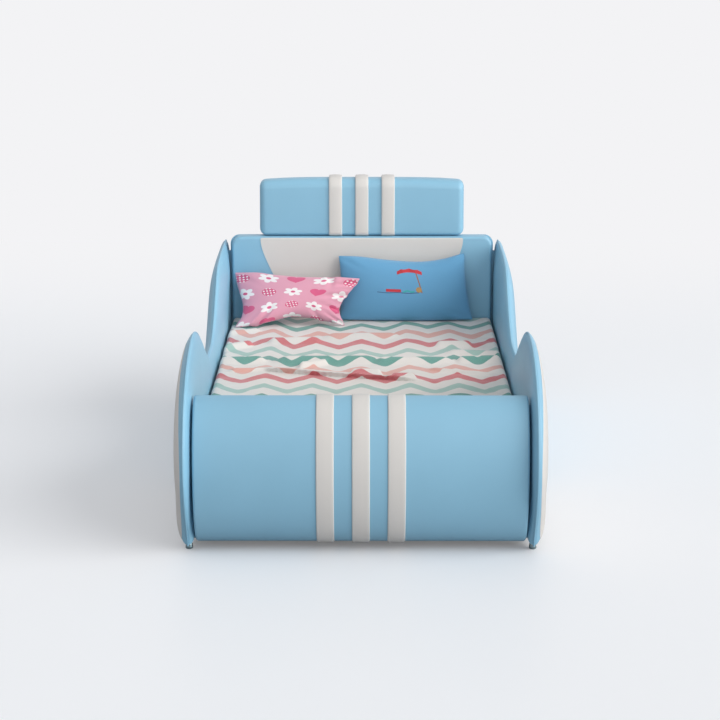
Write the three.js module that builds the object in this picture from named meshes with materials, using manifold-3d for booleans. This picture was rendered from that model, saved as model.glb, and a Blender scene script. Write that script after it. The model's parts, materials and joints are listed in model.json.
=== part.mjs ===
// Child's single bed, upholstered in synthetic leather over boards and foam, on a steel slat base.
// Millimetres, +Z up. The origin is on the floor under the middle of the bed, +Y runs to the head.
import * as THREE from "three";
import { mergeVertices } from "three/addons/utils/BufferGeometryUtils.js";
import Module from "manifold-3d";

const wasm = await Module();
wasm.setup();

// Mattress, which everything else is set round
const MATTRESS_WIDTH = 1200;
const MATTRESS_LENGTH = 2000;
const MATTRESS_THICKNESS = 170;
const MATTRESS_BOTTOM = 245;
const MATTRESS_EDGE_RADIUS = 22;
const MATTRESS_CORNER_RADIUS = 45;
const MATTRESS_SIDE_DRAW_IN = 4;

// Fits
const CONTACT_GAP = 0.3;
const SIDE_CLEARANCE = 20;
const END_CLEARANCE = 9;
const HOLE_CLEARANCE = 0.5;

// How far a cutter runs past the face it opens
const CUT_PAST = 5;

// Side panels: outline along the seam, seen from the side
const FLOOR_CLEARANCE = 30;
const NOSE_OVERHANG = 43;
const NOSE_HEIGHT = 345;
const NOSE_UNDERCUT = 132;
const HUMP_SETBACK = 512;
const HUMP_HEIGHT = 747;
const DIP_LENGTH = 130;
const DIP_SETBACK = 1167;
const DIP_HEIGHT = 508;
const EAR_RISE_LENGTH = 510;
const EAR_SHOULDER_HEIGHT = 764;
const EAR_HEIGHT = 790;
const REAR_OVERHANG = 2;
const REAR_CORNER_RADIUS = 45;
const INNER_CROWN = 25;
const OUTER_CROWN = 41;
const CROWN_RUN = 180;
const INNER_BOTTOM_RUN = 45;
const OUTER_BOTTOM_RUN = 140;
const BOTTOM_CROWN_BLEND = 250;
const SPINE_HEIGHT = 275;
const SIDE_BOARD_THICKNESS = 18;
const SIDE_BOARD_INSET = 22;

// White panel let into the outer face of each side
const PANEL_BORDER = 5;
const PANEL_TOP_BORDER = 26;
const PANEL_LOW_BORDER = 5;
const PANEL_RISE = 4;
const PANEL_TAIL_SETBACK = 1130;
const PANEL_TAIL_HEIGHT = 300;
const PANEL_BACKING = 2;

// Footboard
const FOOTBOARD_DEPTH = 161;
const FOOTBOARD_TOP = 591;
const FOOTBOARD_END_GAP = 3;
const FOOTBOARD_END_RADIUS = 16;
const FOOTBOARD_BOARD_THICKNESS = 18;
const FOOTBOARD_BOARD_INSET = 22;
const FOOTBOARD_LINING_THICKNESS = 5;
const BARREL_STEPS = 22;

// Headboard
const HEADBOARD_DEPTH = 150;
const HEADBOARD_TOP = 826;
const HEADBOARD_END_GAP = 11;
const HEADBOARD_BACK_END_GAP = 2;
const HEADBOARD_CORNER_RADIUS = 30;
const HEADBOARD_EDGE_RADIUS = 12;
const HEADBOARD_BACK_RADIUS = 22;
const HEADBOARD_BACK_FALL = 40;
const HEADBOARD_PAD_THICKNESS = 30;
const HEADBOARD_BOARD_THICKNESS = 18;
const HEADBOARD_BOARD_INSET = 18;
const HEADBOARD_BARE_HEIGHT = 240;
const INSET_TOP_WIDTH = 952;
const INSET_WAIST_WIDTH = 600;
const INSET_TOP_MARGIN = 4;
const INSET_DEPTH = 10;

// Bolster above the headboard
const BOLSTER_WIDTH = 954;
const BOLSTER_HEIGHT = 266;
const BOLSTER_DEPTH = 124;
const BOLSTER_GAP = 3;
const BOLSTER_SETBACK = 3;
const BOLSTER_SECTION_RADIUS = 42;
const BOLSTER_LOW_RADIUS = 18;
const BOLSTER_CORNER_STEPS = 3;
const BOLSTER_END_RADIUS = 30;
const BOLSTER_CROWN_DROP = 12;
const BOLSTER_CORE_THICKNESS = 18;
const BOLSTER_CORE_INSET = 45;
const BOLSTER_CORE_LIFT = 1;
const POST_WIDTH = 40;
const POST_DEPTH = 20;
const POST_WALL = 2;
const POST_SPACING = 560;
const POST_GRIP = 190;

// Raised white strips
const FOOT_STRIP_WIDTH = 66;
const FOOT_STRIP_PITCH = 132;
const FOOT_STRIP_RISE = 6;
const HEAD_STRIP_WIDTH = 62;
const HEAD_STRIP_PITCH = 123;
const HEAD_STRIP_RISE = 12;
const HEAD_STRIP_UNDER = 2;

// Steel slat base
const SLAT_COUNT = 12;
const SLAT_WIDTH = 80;
const SLAT_THICKNESS = 12;
const SLAT_END_GAP = 7;
const SLAT_CHAMFER = 3;
const RAIL_FLANGE = 80;
const RAIL_HEIGHT = 40;
const RAIL_WALL = 3;
const RAIL_END_GAP = 3;
const RAIL_BOLTS = 4;
const BOLT_HOLE = 9;
const BEAM_SIZE = 40;
const BEAM_WALL = 2;
const HANGER_WALL = 3;
const HANGER_HEIGHT = 34;
const HANGER_REACH = 45;
const HANGER_PLATE_MARGIN = 22;
const LEG_DIAMETER = 38;
const LEG_WALL = 2;
const LEG_SPACING = 680;
const LEG_PLATE = 90;
const LEG_PLATE_THICKNESS = 4;
const GLIDE_HEIGHT = 18;
const GLIDE_STEM = 22;
const BRACKET_LEG = 85;
const BRACKET_HEIGHT = 110;
const BRACKET_BOTTOM = 65;
const BRACKET_WALL = 4;

// Feet under the side panels
const FOOT_DIAMETER = 28;
const FOOT_STEM_DIAMETER = 10;
const FOOT_STEM_LENGTH = 28;
const FOOT_INSET = 185;

// Bedding
const QUILT_THICKNESS = 6;
const QUILT_SIDE = 13;
const QUILT_DROP = 72;
const QUILT_HEAD_MARGIN = 4;
const PILLOW_HALF_THICKNESS = 56;

// Main folds of the quilt, from the mattress's middle: half-length across the bed, rise and run of each
const QUILT_FOLDS = [
  { x: -55, y: 259, reach: 480, rise: 17, run: 75, skew: 0.05 },
  { x: 5, y: -36, reach: 260, rise: 15, run: 62, skew: -0.04 },
  { x: -310, y: 42, reach: 240, rise: 13, run: 62, skew: 0.1 },
  { x: 200, y: 674, reach: 240, rise: 12, run: 62, skew: -0.06 },
  { x: -330, y: 594, reach: 220, rise: 10, run: 62, skew: 0.05 },
];

// Corners of the pillows: across the bed, away from the headboard's front, and up from the quilt
const PINK_PILLOW = {
  lowLeft: [-574, 232, 0],
  lowRight: [-74, 195, 0],
  topLeft: [-586, 4, 231],
  topRight: [-3, 168, 224],
};
const BLUE_PILLOW = {
  lowLeft: [-95, 106, 0],
  lowRight: [519, 106, 0],
  topLeft: [-100, 31, 318],
  topRight: [483, 31, 322],
};

// Places worked out from the sizes above
const footReach = MATTRESS_LENGTH / 2 + END_CLEARANCE + FOOTBOARD_DEPTH + NOSE_OVERHANG;
const headReach = MATTRESS_LENGTH / 2 + END_CLEARANCE + HEADBOARD_DEPTH + REAR_OVERHANG;
const noseY = -(footReach + headReach) / 2;
const rearY = -noseY;
const mattressY = noseY + footReach;
const footboardBackY = mattressY - MATTRESS_LENGTH / 2 - END_CLEARANCE;
const headboardFrontY = mattressY + MATTRESS_LENGTH / 2 + END_CLEARANCE;
const headboardBackY = headboardFrontY + HEADBOARD_DEPTH;
const innerX = MATTRESS_WIDTH / 2 + SIDE_CLEARANCE;
const seamX = innerX + INNER_CROWN;
const boardInnerX = seamX - SIDE_BOARD_THICKNESS / 2;
const boardOuterX = seamX + SIDE_BOARD_THICKNESS / 2;
const mattressTop = MATTRESS_BOTTOM + MATTRESS_THICKNESS;
const slatTop = MATTRESS_BOTTOM - CONTACT_GAP;
const railTop = slatTop - SLAT_THICKNESS - CONTACT_GAP;
const boardY = headboardFrontY + HEADBOARD_PAD_THICKNESS;
const bolsterBottom = HEADBOARD_TOP + BOLSTER_GAP;
const bolsterY = headboardFrontY + BOLSTER_SETBACK + HEAD_STRIP_RISE + BOLSTER_DEPTH / 2;

const BLUE = { color: 0x86bad4, roughness: 0.48, metalness: 0 };
const WHITE = { color: 0xd2cfca, roughness: 0.5, metalness: 0 };
const PLY = { color: 0xc9a878, roughness: 0.75, metalness: 0 };
const SLAT_WOOD = { color: 0xd8bd8c, roughness: 0.65, metalness: 0 };
const STEEL = { color: 0x3b3e42, roughness: 0.45, metalness: 0.6 };
const CHROME = { color: 0xc7ccd1, roughness: 0.18, metalness: 1 };
const NYLON = { color: 0x24262a, roughness: 0.6, metalness: 0 };
const LINING = { color: 0x2f4a5c, roughness: 0.9, metalness: 0 };
const TICKING = { color: 0xefece4, roughness: 0.9, metalness: 0 };
const QUILTING = { color: 0xe4dcd0, roughness: 0.95, metalness: 0 };
const PINK_COTTON = { color: 0xe0a0b6, roughness: 0.9, metalness: 0 };
const BLUE_COTTON = { color: 0x649ec2, roughness: 0.9, metalness: 0 };

// Solids and their joins

function solidOf(geometry) {
  const bare = new THREE.BufferGeometry();
  bare.setAttribute("position", geometry.getAttribute("position"));
  bare.setIndex(geometry.index);
  const merged = mergeVertices(bare, 1e-3);
  return new wasm.Manifold(
    new wasm.Mesh({
      numProp: 3,
      vertProperties: new Float32Array(merged.getAttribute("position").array),
      triVerts: new Uint32Array(merged.index.array),
    }),
  );
}

function geometryOf(solid) {
  const mesh = solid.getMesh();
  const geometry = new THREE.BufferGeometry();
  geometry.setAttribute("position", new THREE.BufferAttribute(mesh.vertProperties, 3));
  geometry.setIndex(new THREE.BufferAttribute(mesh.triVerts, 1));
  return geometry;
}

function cut(geometry, ...tools) {
  return geometryOf(tools.reduce((left, tool) => left.subtract(solidOf(tool)), solidOf(geometry)));
}

function joined(geometry, ...others) {
  return geometryOf(others.reduce((sum, other) => sum.add(solidOf(other)), solidOf(geometry)));
}

function common(geometry, other) {
  return geometryOf(solidOf(geometry).intersect(solidOf(other)));
}

// Turns a closed mesh so that its faces point out.
function facingOut(points, faces) {
  const a = new THREE.Vector3();
  let volume = 0;
  for (const [i, j, k] of faces) volume += a.crossVectors(points[i], points[j]).dot(points[k]);
  const turned = volume < 0 ? faces.map(([i, j, k]) => [i, k, j]) : faces;
  const geometry = new THREE.BufferGeometry().setFromPoints(points);
  geometry.setIndex(turned.flat());
  return geometry;
}

// Quads between neighbouring rings of equal point counts.
function bandFaces(ringCount, pointCount, closedLoop) {
  const faces = [];
  const bands = closedLoop ? ringCount : ringCount - 1;
  for (let band = 0; band < bands; band++) {
    const next = (band + 1) % ringCount;
    for (let i = 0; i < pointCount; i++) {
      const j = (i + 1) % pointCount;
      const corners = [band * pointCount + i, band * pointCount + j, next * pointCount + j];
      faces.push(corners);
      faces.push([corners[0], corners[2], next * pointCount + i]);
    }
  }
  return faces;
}

// A solid through rings of points, capped at both ends. The plane says which axes the caps lie in.
function loft(rings, plane) {
  const pointCount = rings[0].length;
  const faces = bandFaces(rings.length, pointCount, false);
  const cap = (ring, offset, isFirst) => {
    const flat = ring.map((p) => new THREE.Vector2(p[plane[0]], p[plane[1]]));
    const turn = THREE.ShapeUtils.area(flat) > 0 === isFirst;
    for (const [i, j, k] of THREE.ShapeUtils.triangulateShape(flat, [])) {
      faces.push(turn ? [i + offset, k + offset, j + offset] : [i + offset, j + offset, k + offset]);
    }
  };
  cap(rings[0], 0, true);
  cap(rings.at(-1), (rings.length - 1) * pointCount, false);
  return facingOut(rings.flat(), faces);
}

// A ring-shaped solid through rings that come back to the first.
function loopLoft(rings) {
  return facingOut(rings.flat(), bandFaces(rings.length, rings[0].length, true));
}

// An extrusion of a shape drawn in the plane of two world axes, along the third.
function prism(shape, from, to, axis, segments = 12) {
  const geometry = new THREE.ExtrudeGeometry(shape, {
    depth: to - from,
    bevelEnabled: false,
    curveSegments: segments,
  });
  geometry.deleteAttribute("normal");
  geometry.deleteAttribute("uv");
  const whole = mergeVertices(geometry, 1e-4);
  const x = new THREE.Vector3(1, 0, 0);
  const y = new THREE.Vector3(0, 1, 0);
  const z = new THREE.Vector3(0, 0, 1);
  const basis = new THREE.Matrix4();
  if (axis === "x") basis.makeBasis(y, z, x);
  if (axis === "y") basis.makeBasis(z, x, y);
  if (axis === "z") basis.makeBasis(x, y, z);
  whole.applyMatrix4(basis);
  const shift = { x: [from, 0, 0], y: [0, from, 0], z: [0, 0, from] }[axis];
  return whole.translate(...shift);
}

function block(x0, x1, y0, y1, z0, z1) {
  const box = new THREE.BoxGeometry(x1 - x0, y1 - y0, z1 - z0);
  return box.translate((x0 + x1) / 2, (y0 + y1) / 2, (z0 + z1) / 2);
}

function shapeOf(points) {
  return new THREE.Shape(points);
}

function rectangle(u0, u1, v0, v1, radius = 0, highRadius = radius) {
  const shape = new THREE.Shape();
  shape.moveTo(u0 + radius, v0);
  shape.lineTo(u1 - radius, v0);
  if (radius) shape.absarc(u1 - radius, v0 + radius, radius, -Math.PI / 2, 0);
  shape.lineTo(u1, v1 - highRadius);
  if (highRadius) shape.absarc(u1 - highRadius, v1 - highRadius, highRadius, 0, Math.PI / 2);
  shape.lineTo(u0 + highRadius, v1);
  if (highRadius) shape.absarc(u0 + highRadius, v1 - highRadius, highRadius, Math.PI / 2, Math.PI);
  shape.lineTo(u0, v0 + radius);
  if (radius) shape.absarc(u0 + radius, v0 + radius, radius, Math.PI, Math.PI * 1.5);
  return shape;
}

// The corners of a rounded rectangle, without doubled points.
function rectanglePoints(u0, u1, v0, v1, radius, segments, highRadius = radius) {
  const points = rectangle(u0, u1, v0, v1, radius, highRadius).getPoints(segments);
  return points.filter((p, i) => p.distanceTo(points[(i + 1) % points.length]) > 0.01);
}

function crownAt(inset, rise, run) {
  const left = 1 - Math.min(inset / run, 1);
  return rise * Math.sqrt(1 - left * left);
}

// Side panels

// The seam line of a side panel: nose, front hump, entry dip, rear ear and a straight foot.
function sideOutline() {
  const humpY = noseY + HUMP_SETBACK;
  const dipY = noseY + DIP_SETBACK;
  const riseY = dipY + DIP_LENGTH;
  const shoulderY = riseY + EAR_RISE_LENGTH;
  const heelY = noseY + NOSE_UNDERCUT;
  const noseLift = NOSE_HEIGHT - FLOOR_CLEARANCE;
  const humpLift = HUMP_HEIGHT - NOSE_HEIGHT;
  const humpDrop = HUMP_HEIGHT - DIP_HEIGHT;
  const earLift = EAR_SHOULDER_HEIGHT - DIP_HEIGHT;
  const humpFall = dipY - humpY;
  const line = new THREE.Path();
  line.moveTo(heelY, FLOOR_CLEARANCE);
  line.bezierCurveTo(
    heelY - NOSE_UNDERCUT * 0.19, FLOOR_CLEARANCE + noseLift * 0.25,
    noseY, FLOOR_CLEARANCE + noseLift * 0.57,
    noseY, NOSE_HEIGHT,
  );
  line.bezierCurveTo(
    noseY, NOSE_HEIGHT + humpLift * 0.52,
    noseY + HUMP_SETBACK * 0.35, HUMP_HEIGHT,
    humpY, HUMP_HEIGHT,
  );
  line.bezierCurveTo(
    humpY + humpFall * 0.34, HUMP_HEIGHT,
    dipY - humpFall * 0.17, DIP_HEIGHT + humpDrop * 0.03,
    dipY, DIP_HEIGHT,
  );
  line.lineTo(riseY, DIP_HEIGHT);
  line.bezierCurveTo(
    riseY + EAR_RISE_LENGTH * 0.47, DIP_HEIGHT,
    shoulderY - EAR_RISE_LENGTH * 0.235, EAR_SHOULDER_HEIGHT - earLift * 0.094,
    shoulderY, EAR_SHOULDER_HEIGHT,
  );
  const earRun = rearY - REAR_CORNER_RADIUS - shoulderY;
  line.bezierCurveTo(
    shoulderY + earRun * 0.16, EAR_SHOULDER_HEIGHT + (EAR_HEIGHT - EAR_SHOULDER_HEIGHT) * 0.65,
    shoulderY + earRun * 0.45, EAR_HEIGHT,
    rearY - REAR_CORNER_RADIUS, EAR_HEIGHT,
  );
  const r = REAR_CORNER_RADIUS;
  line.absarc(rearY - r, EAR_HEIGHT - r, r, Math.PI / 2, 0, true);
  line.lineTo(rearY, FLOOR_CLEARANCE + r);
  line.absarc(rearY - r, FLOOR_CLEARANCE + r, r, 0, -Math.PI / 2, true);
  return line;
}

// Points along the seam: a fixed number on each stretch, so that curved stretches get more.
function sidePoints() {
  const points = [];
  const add = (p) => {
    if (!points.length || points.at(-1).distanceTo(p) > 0.5) points.push(p);
  };
  for (const curve of sideOutline().curves) {
    const steps = curve.isLineCurve ? Math.ceil(curve.getLength() / 300) : curve.isEllipseCurve ? 3 : 7;
    curve.getSpacedPoints(steps).forEach(add);
  }
  const bottom = points.at(-1);
  const run = bottom.x - points[0].x;
  const steps = Math.ceil(run / 300);
  for (let i = 1; i < steps; i++) add(new THREE.Vector2(bottom.x - (run * i) / steps, FLOOR_CLEARANCE));
  return points.reverse();
}

// The point of a panel's middle line that an edge point is drawn towards.
function spineOf(p) {
  const reach = CROWN_RUN * 1.3;
  return new THREE.Vector2(THREE.MathUtils.clamp(p.x, noseY + reach, rearY - reach), SPINE_HEIGHT);
}

function drawnIn(p, inset) {
  return spineOf(p).sub(p).setLength(inset).add(p);
}

// How far in the crown reaches from an edge point: less along the bottom, most of all on the inner face.
function crownRun(p, bottomRun) {
  const share = THREE.MathUtils.smoothstep(p.y, FLOOR_CLEARANCE, FLOOR_CLEARANCE + BOTTOM_CROWN_BLEND);
  return THREE.MathUtils.lerp(bottomRun, CROWN_RUN, share);
}

// One crowned face of a side panel, from the seam plane outwards by the sign of the rise.
function crownedFace(rise) {
  const outline = sidePoints();
  const bottomRun = rise < 0 ? INNER_BOTTOM_RUN : OUTER_BOTTOM_RUN;
  const rings = [0, 0.05, 0.22, 0.55, 1].map((share) =>
    outline.map((p) => {
      const q = share ? drawnIn(p, share * crownRun(p, bottomRun)) : p;
      const lift = Math.sign(rise) * crownAt(share, Math.abs(rise), 1);
      return new THREE.Vector3(seamX + lift, q.x, q.y);
    }),
  );
  return loft(rings, ["y", "z"]);
}

// The board's outline: the seam line drawn in, flush along the bottom.
function boardPoints(allowance) {
  const points = sidePoints();
  return points.map((p, i) => {
    const along = points[(i + 1) % points.length].clone().sub(points.at(i - 1)).normalize();
    const q = new THREE.Vector2(along.y, -along.x).multiplyScalar(-(SIDE_BOARD_INSET - allowance)).add(p);
    if (p.y < FLOOR_CLEARANCE + 1) q.y = FLOOR_CLEARANCE - allowance;
    return q;
  });
}

function railHoleYs() {
  const from = footboardBackY + RAIL_HEIGHT * 3;
  const to = boardY - RAIL_HEIGHT * 3;
  return Array.from({ length: RAIL_BOLTS }, (_, i) => from + ((to - from) * i) / (RAIL_BOLTS - 1));
}

function bracketHoleZs() {
  return [0.25, 0.75].map((share) => BRACKET_BOTTOM + BRACKET_HEIGHT * share);
}

function bracketHoleYs() {
  const reach = BRACKET_LEG * 0.6;
  return [footboardBackY + reach, boardY - reach];
}

// A round cutter along an axis, through the wall between two places.
function drill(axis, from, to, a, b, diameter = BOLT_HOLE) {
  const shape = new THREE.Shape();
  shape.absarc(a, b, diameter / 2, 0, Math.PI * 2);
  return prism(shape, from, to, axis, 4);
}

function sideBoardGeometry() {
  const board = prism(shapeOf(boardPoints(0)), boardInnerX, boardOuterX, "x");
  const railZ = railTop - RAIL_HEIGHT / 2;
  const holes = railHoleYs().map((y) => drill("x", boardInnerX - 1, boardOuterX + 1, y, railZ));
  for (const y of bracketHoleYs()) {
    for (const z of bracketHoleZs()) holes.push(drill("x", boardInnerX - 1, boardOuterX + 1, y, z));
  }
  const stem = FOOT_STEM_DIAMETER + 2 * HOLE_CLEARANCE;
  for (const y of footYs()) {
    holes.push(drill("z", 0, FLOOR_CLEARANCE + FOOT_STEM_LENGTH + HOLE_CLEARANCE, seamX, y, stem));
  }
  return cut(board, ...holes);
}

function boardPocket() {
  return prism(shapeOf(boardPoints(CONTACT_GAP)), boardInnerX - CONTACT_GAP, boardOuterX + CONTACT_GAP, "x");
}

// The inner pad leaves the board bare where the rail and the corner brackets are bolted on.
function innerPadGeometry() {
  const deep = innerX - INNER_CROWN;
  const window = block(
    deep, seamX,
    footboardBackY, boardY,
    railTop - RAIL_HEIGHT - RAIL_WALL, railTop + CONTACT_GAP,
  );
  const reach = BRACKET_LEG + BRACKET_WALL;
  const bottom = BRACKET_BOTTOM - BRACKET_WALL;
  const top = BRACKET_BOTTOM + BRACKET_HEIGHT + BRACKET_WALL;
  const footRecess = block(deep, seamX, footboardBackY, footboardBackY + reach, bottom, top);
  const headRecess = block(deep, seamX, boardY - reach, boardY, bottom, top);
  return cut(crownedFace(-INNER_CROWN), boardPocket(), window, footRecess, headRecess);
}

// Outline of the white panel: it follows the nose and the front hump, then runs out to a tail.
function panelShape(allowance) {
  const border = PANEL_BORDER - allowance;
  const topBorder = PANEL_TOP_BORDER - allowance;
  const humpY = noseY + HUMP_SETBACK;
  const heelY = noseY + NOSE_UNDERCUT;
  const tailY = noseY + PANEL_TAIL_SETBACK + allowance;
  const noseLift = NOSE_HEIGHT - FLOOR_CLEARANCE;
  const humpLift = HUMP_HEIGHT - NOSE_HEIGHT;
  const low = FLOOR_CLEARANCE + PANEL_LOW_BORDER - allowance;
  const top = HUMP_HEIGHT - topBorder;
  const tailRun = tailY - humpY;
  const shape = new THREE.Shape();
  shape.moveTo(heelY + border * 2, low);
  shape.bezierCurveTo(
    heelY - NOSE_UNDERCUT * 0.25 + border, FLOOR_CLEARANCE + noseLift * 0.34,
    noseY + border, FLOOR_CLEARANCE + noseLift * 0.62,
    noseY + border, NOSE_HEIGHT,
  );
  shape.bezierCurveTo(
    noseY + border, NOSE_HEIGHT + humpLift * 0.48,
    noseY + HUMP_SETBACK * 0.37 + border, top,
    humpY, top,
  );
  shape.bezierCurveTo(
    humpY + tailRun * 0.35, top,
    tailY, PANEL_TAIL_HEIGHT + (top - PANEL_TAIL_HEIGHT) * 0.45,
    tailY, PANEL_TAIL_HEIGHT,
  );
  shape.bezierCurveTo(
    tailY, low + (PANEL_TAIL_HEIGHT - low) * 0.35,
    tailY - tailRun * 0.4, low,
    humpY, low,
  );
  return shape;
}

function panelCutter(allowance) {
  const from = boardOuterX + CONTACT_GAP + PANEL_BACKING - allowance;
  return prism(panelShape(allowance), from, seamX + OUTER_CROWN + CUT_PAST, "x", 9);
}

function makeSide(side, mirror) {
  const outerFace = cut(crownedFace(OUTER_CROWN), boardPocket());
  const panelFace = cut(crownedFace(OUTER_CROWN + PANEL_RISE), boardPocket());
  const group = new THREE.Group();
  group.add(piece(`side_board_${side}`, sideBoardGeometry(), PLY));
  group.add(piece(`side_inner_pad_${side}`, innerPadGeometry(), BLUE));
  group.add(piece(`side_outer_pad_${side}`, cut(outerFace, panelCutter(CONTACT_GAP)), BLUE));
  group.add(piece(`side_white_panel_${side}`, common(panelFace, panelCutter(0)), WHITE));
  group.scale.x = mirror;
  return group;
}

// Feet

function footYs() {
  return [noseY + FOOT_INSET, rearY - FOOT_INSET];
}

// A domed cup on a screwed stem, turned about Z.
function footGeometry() {
  const r = FOOT_DIAMETER / 2;
  const stem = FOOT_STEM_DIAMETER / 2;
  const seat = FLOOR_CLEARANCE - CONTACT_GAP;
  const profile = new THREE.Path();
  profile.moveTo(0, 0);
  profile.lineTo(r - 3, 0);
  profile.lineTo(r, 3);
  profile.lineTo(r, 9);
  profile.quadraticCurveTo(r - 2, seat - 4, stem + 4, seat);
  profile.lineTo(stem, seat);
  profile.lineTo(stem, seat + FOOT_STEM_LENGTH);
  profile.lineTo(0, seat + FOOT_STEM_LENGTH);
  const points = profile.getPoints(3);
  return new THREE.LatheGeometry(points, 14).rotateX(Math.PI / 2);
}

function makeFeet() {
  const group = new THREE.Group();
  const ends = ["front", "rear"];
  for (const [side, sign] of [["left", -1], ["right", 1]]) {
    footYs().forEach((y, i) => {
      const foot = piece(`foot_${ends[i]}_${side}`, footGeometry(), CHROME);
      foot.position.set(sign * seamX, y, 0);
      group.add(foot);
    });
  }
  return group;
}

// Footboard

// Half an ellipse that bulges to the foot, drawn out by an offset. Angles run from top to bottom.
function barrelPoint(angle, offset) {
  const middle = (FOOTBOARD_TOP + FLOOR_CLEARANCE) / 2;
  const a = FOOTBOARD_DEPTH - FOOTBOARD_LINING_THICKNESS + offset;
  const b = (FOOTBOARD_TOP - FLOOR_CLEARANCE) / 2 + offset;
  const back = footboardBackY - FOOTBOARD_LINING_THICKNESS;
  return new THREE.Vector2(back - a * Math.sin(angle), middle + b * Math.cos(angle));
}

function barrelAngles() {
  return Array.from({ length: BARREL_STEPS + 1 }, (_, i) => (Math.PI * i) / BARREL_STEPS);
}

function footboardPadGeometry() {
  const half = innerX - FOOTBOARD_END_GAP;
  const r = FOOTBOARD_END_RADIUS;
  const turns = [0, 0.35, 0.7, 1].map((share) => (Math.PI / 2) * share);
  const near = turns.map((turn) => [half - r + r * Math.cos(turn), r * Math.sin(turn) - r]).reverse();
  const stations = [...near.map(([x, offset]) => [-x, offset]).reverse(), ...near];
  const rings = stations.map(([x, offset]) =>
    barrelAngles().map((angle) => {
      const p = barrelPoint(angle, offset);
      return new THREE.Vector3(x, p.x, p.y);
    }),
  );
  const board = footboardBoardBounds(CONTACT_GAP);
  return cut(loft(rings, ["y", "z"]), block(...board));
}

function footboardBoardBounds(allowance) {
  const half = innerX - FOOTBOARD_END_GAP - FOOTBOARD_BOARD_INSET + allowance;
  const back = footboardBackY - FOOTBOARD_LINING_THICKNESS - CONTACT_GAP;
  const low = FLOOR_CLEARANCE + FOOTBOARD_BOARD_INSET - allowance;
  const high = FOOTBOARD_TOP - FOOTBOARD_BOARD_INSET + allowance;
  const open = allowance ? 2 * CUT_PAST : 0;
  return [-half, half, back - FOOTBOARD_BOARD_THICKNESS - allowance, back + open, low, high];
}

function footboardBoardGeometry() {
  const [x0, x1, y0, y1, z0, z1] = footboardBoardBounds(0);
  const board = prism(rectangle(z0, z1, x0, x1, FOOTBOARD_BOARD_INSET), y0, y1, "y", 3);
  const holes = [];
  for (const sign of [-1, 1]) {
    for (const z of bracketHoleZs()) holes.push(drill("y", y0 - 1, y1 + 1, z, sign * bracketHoleX()));
  }
  return cut(board, ...holes);
}

function bracketHoleX() {
  return boardInnerX - BRACKET_LEG * 0.7;
}

function footboardLiningGeometry() {
  const margin = FOOTBOARD_BOARD_INSET / 2;
  const half = innerX - FOOTBOARD_END_GAP - margin;
  const outline = rectangle(FLOOR_CLEARANCE + margin, FOOTBOARD_TOP - margin, -half, half, margin);
  const lining = prism(outline, footboardBackY - FOOTBOARD_LINING_THICKNESS, footboardBackY, "y", 3);
  const holes = [];
  for (const sign of [-1, 1]) {
    for (const z of bracketHoleZs()) {
      const x = sign * bracketHoleX();
      holes.push(drill("y", footboardBackY - 2 * FOOTBOARD_LINING_THICKNESS, footboardBackY + 1, z, x));
    }
  }
  return cut(lining, ...holes);
}

// Section of a padded strip: offset across the width and height above the pad.
function stripSection(width, rise) {
  const half = width / 2;
  return [
    [-half, CONTACT_GAP],
    [-half, rise * 0.45],
    [-half * 0.8, rise],
    [half * 0.8, rise],
    [half, rise * 0.45],
    [half, CONTACT_GAP],
  ];
}

function footStripGeometry() {
  const rings = barrelAngles().map((angle) =>
    stripSection(FOOT_STRIP_WIDTH, FOOT_STRIP_RISE).map(([x, height]) => {
      const p = barrelPoint(angle, height);
      return new THREE.Vector3(x, p.x, p.y);
    }),
  );
  return loft(rings, ["x", "z"]);
}

function stripNames(part) {
  return ["left", "middle", "right"].map((place) => `${part}_strip_${place}`);
}

function makeFootboard() {
  const group = new THREE.Group();
  group.add(piece("footboard_board", footboardBoardGeometry(), PLY));
  group.add(piece("footboard_lining", footboardLiningGeometry(), LINING));
  group.add(piece("footboard_pad", footboardPadGeometry(), BLUE));
  stripNames("footboard").forEach((name, i, names) => {
    const strip = piece(name, footStripGeometry(), WHITE);
    strip.position.x = (i - (names.length - 1) / 2) * FOOT_STRIP_PITCH;
    group.add(strip);
  });
  return group;
}

// Headboard

// A slab with rounded upright corners in front view and one rounded face, built along Y.
// Its top can fall away from the seam to that face.
function roundedSlab(half, low, high, corner, seamAt, faceAt, edge, fall = 0) {
  const direction = Math.sign(faceAt - seamAt);
  const starts = fall ? [0, 0.35, 0.65] : [0];
  const stations = starts.map((share) => [THREE.MathUtils.lerp(seamAt, faceAt, share), 0]);
  for (const share of [0, 0.5, 1]) {
    const turn = (Math.PI / 2) * share;
    stations.push([faceAt - direction * edge * (1 - Math.sin(turn)), edge * (1 - Math.cos(turn))]);
  }
  const rings = stations.map(([y, inset]) => {
    const top = high - inset - fall + crownAt((faceAt - y) / (faceAt - seamAt), fall, 1);
    return rectanglePoints(-half + inset, half - inset, low + inset, top, corner, 4).map(
      (p) => new THREE.Vector3(p.x, y, p.y),
    );
  });
  return loft(rings, ["x", "z"]);
}

function headboardHalf() {
  return innerX - HEADBOARD_END_GAP;
}

function headboardPadGeometry() {
  const seamAt = boardY + HEADBOARD_BOARD_THICKNESS;
  const slab = roundedSlab(
    headboardHalf(), HEADBOARD_BARE_HEIGHT, HEADBOARD_TOP,
    HEADBOARD_CORNER_RADIUS, seamAt, headboardFrontY, HEADBOARD_EDGE_RADIUS,
  );
  const [half, low, high] = headboardBoardBounds(CONTACT_GAP);
  const pocket = block(-half, half, boardY - CONTACT_GAP, seamAt + CUT_PAST, low, high);
  return cut(slab, pocket, insetCutter(CONTACT_GAP));
}

function headboardBoardBounds(allowance) {
  const half = headboardHalf() - HEADBOARD_BOARD_INSET + allowance;
  const low = FLOOR_CLEARANCE + HEADBOARD_BOARD_INSET - allowance;
  const high = HEADBOARD_TOP - HEADBOARD_BOARD_INSET + allowance;
  return [half, low, high];
}

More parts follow.
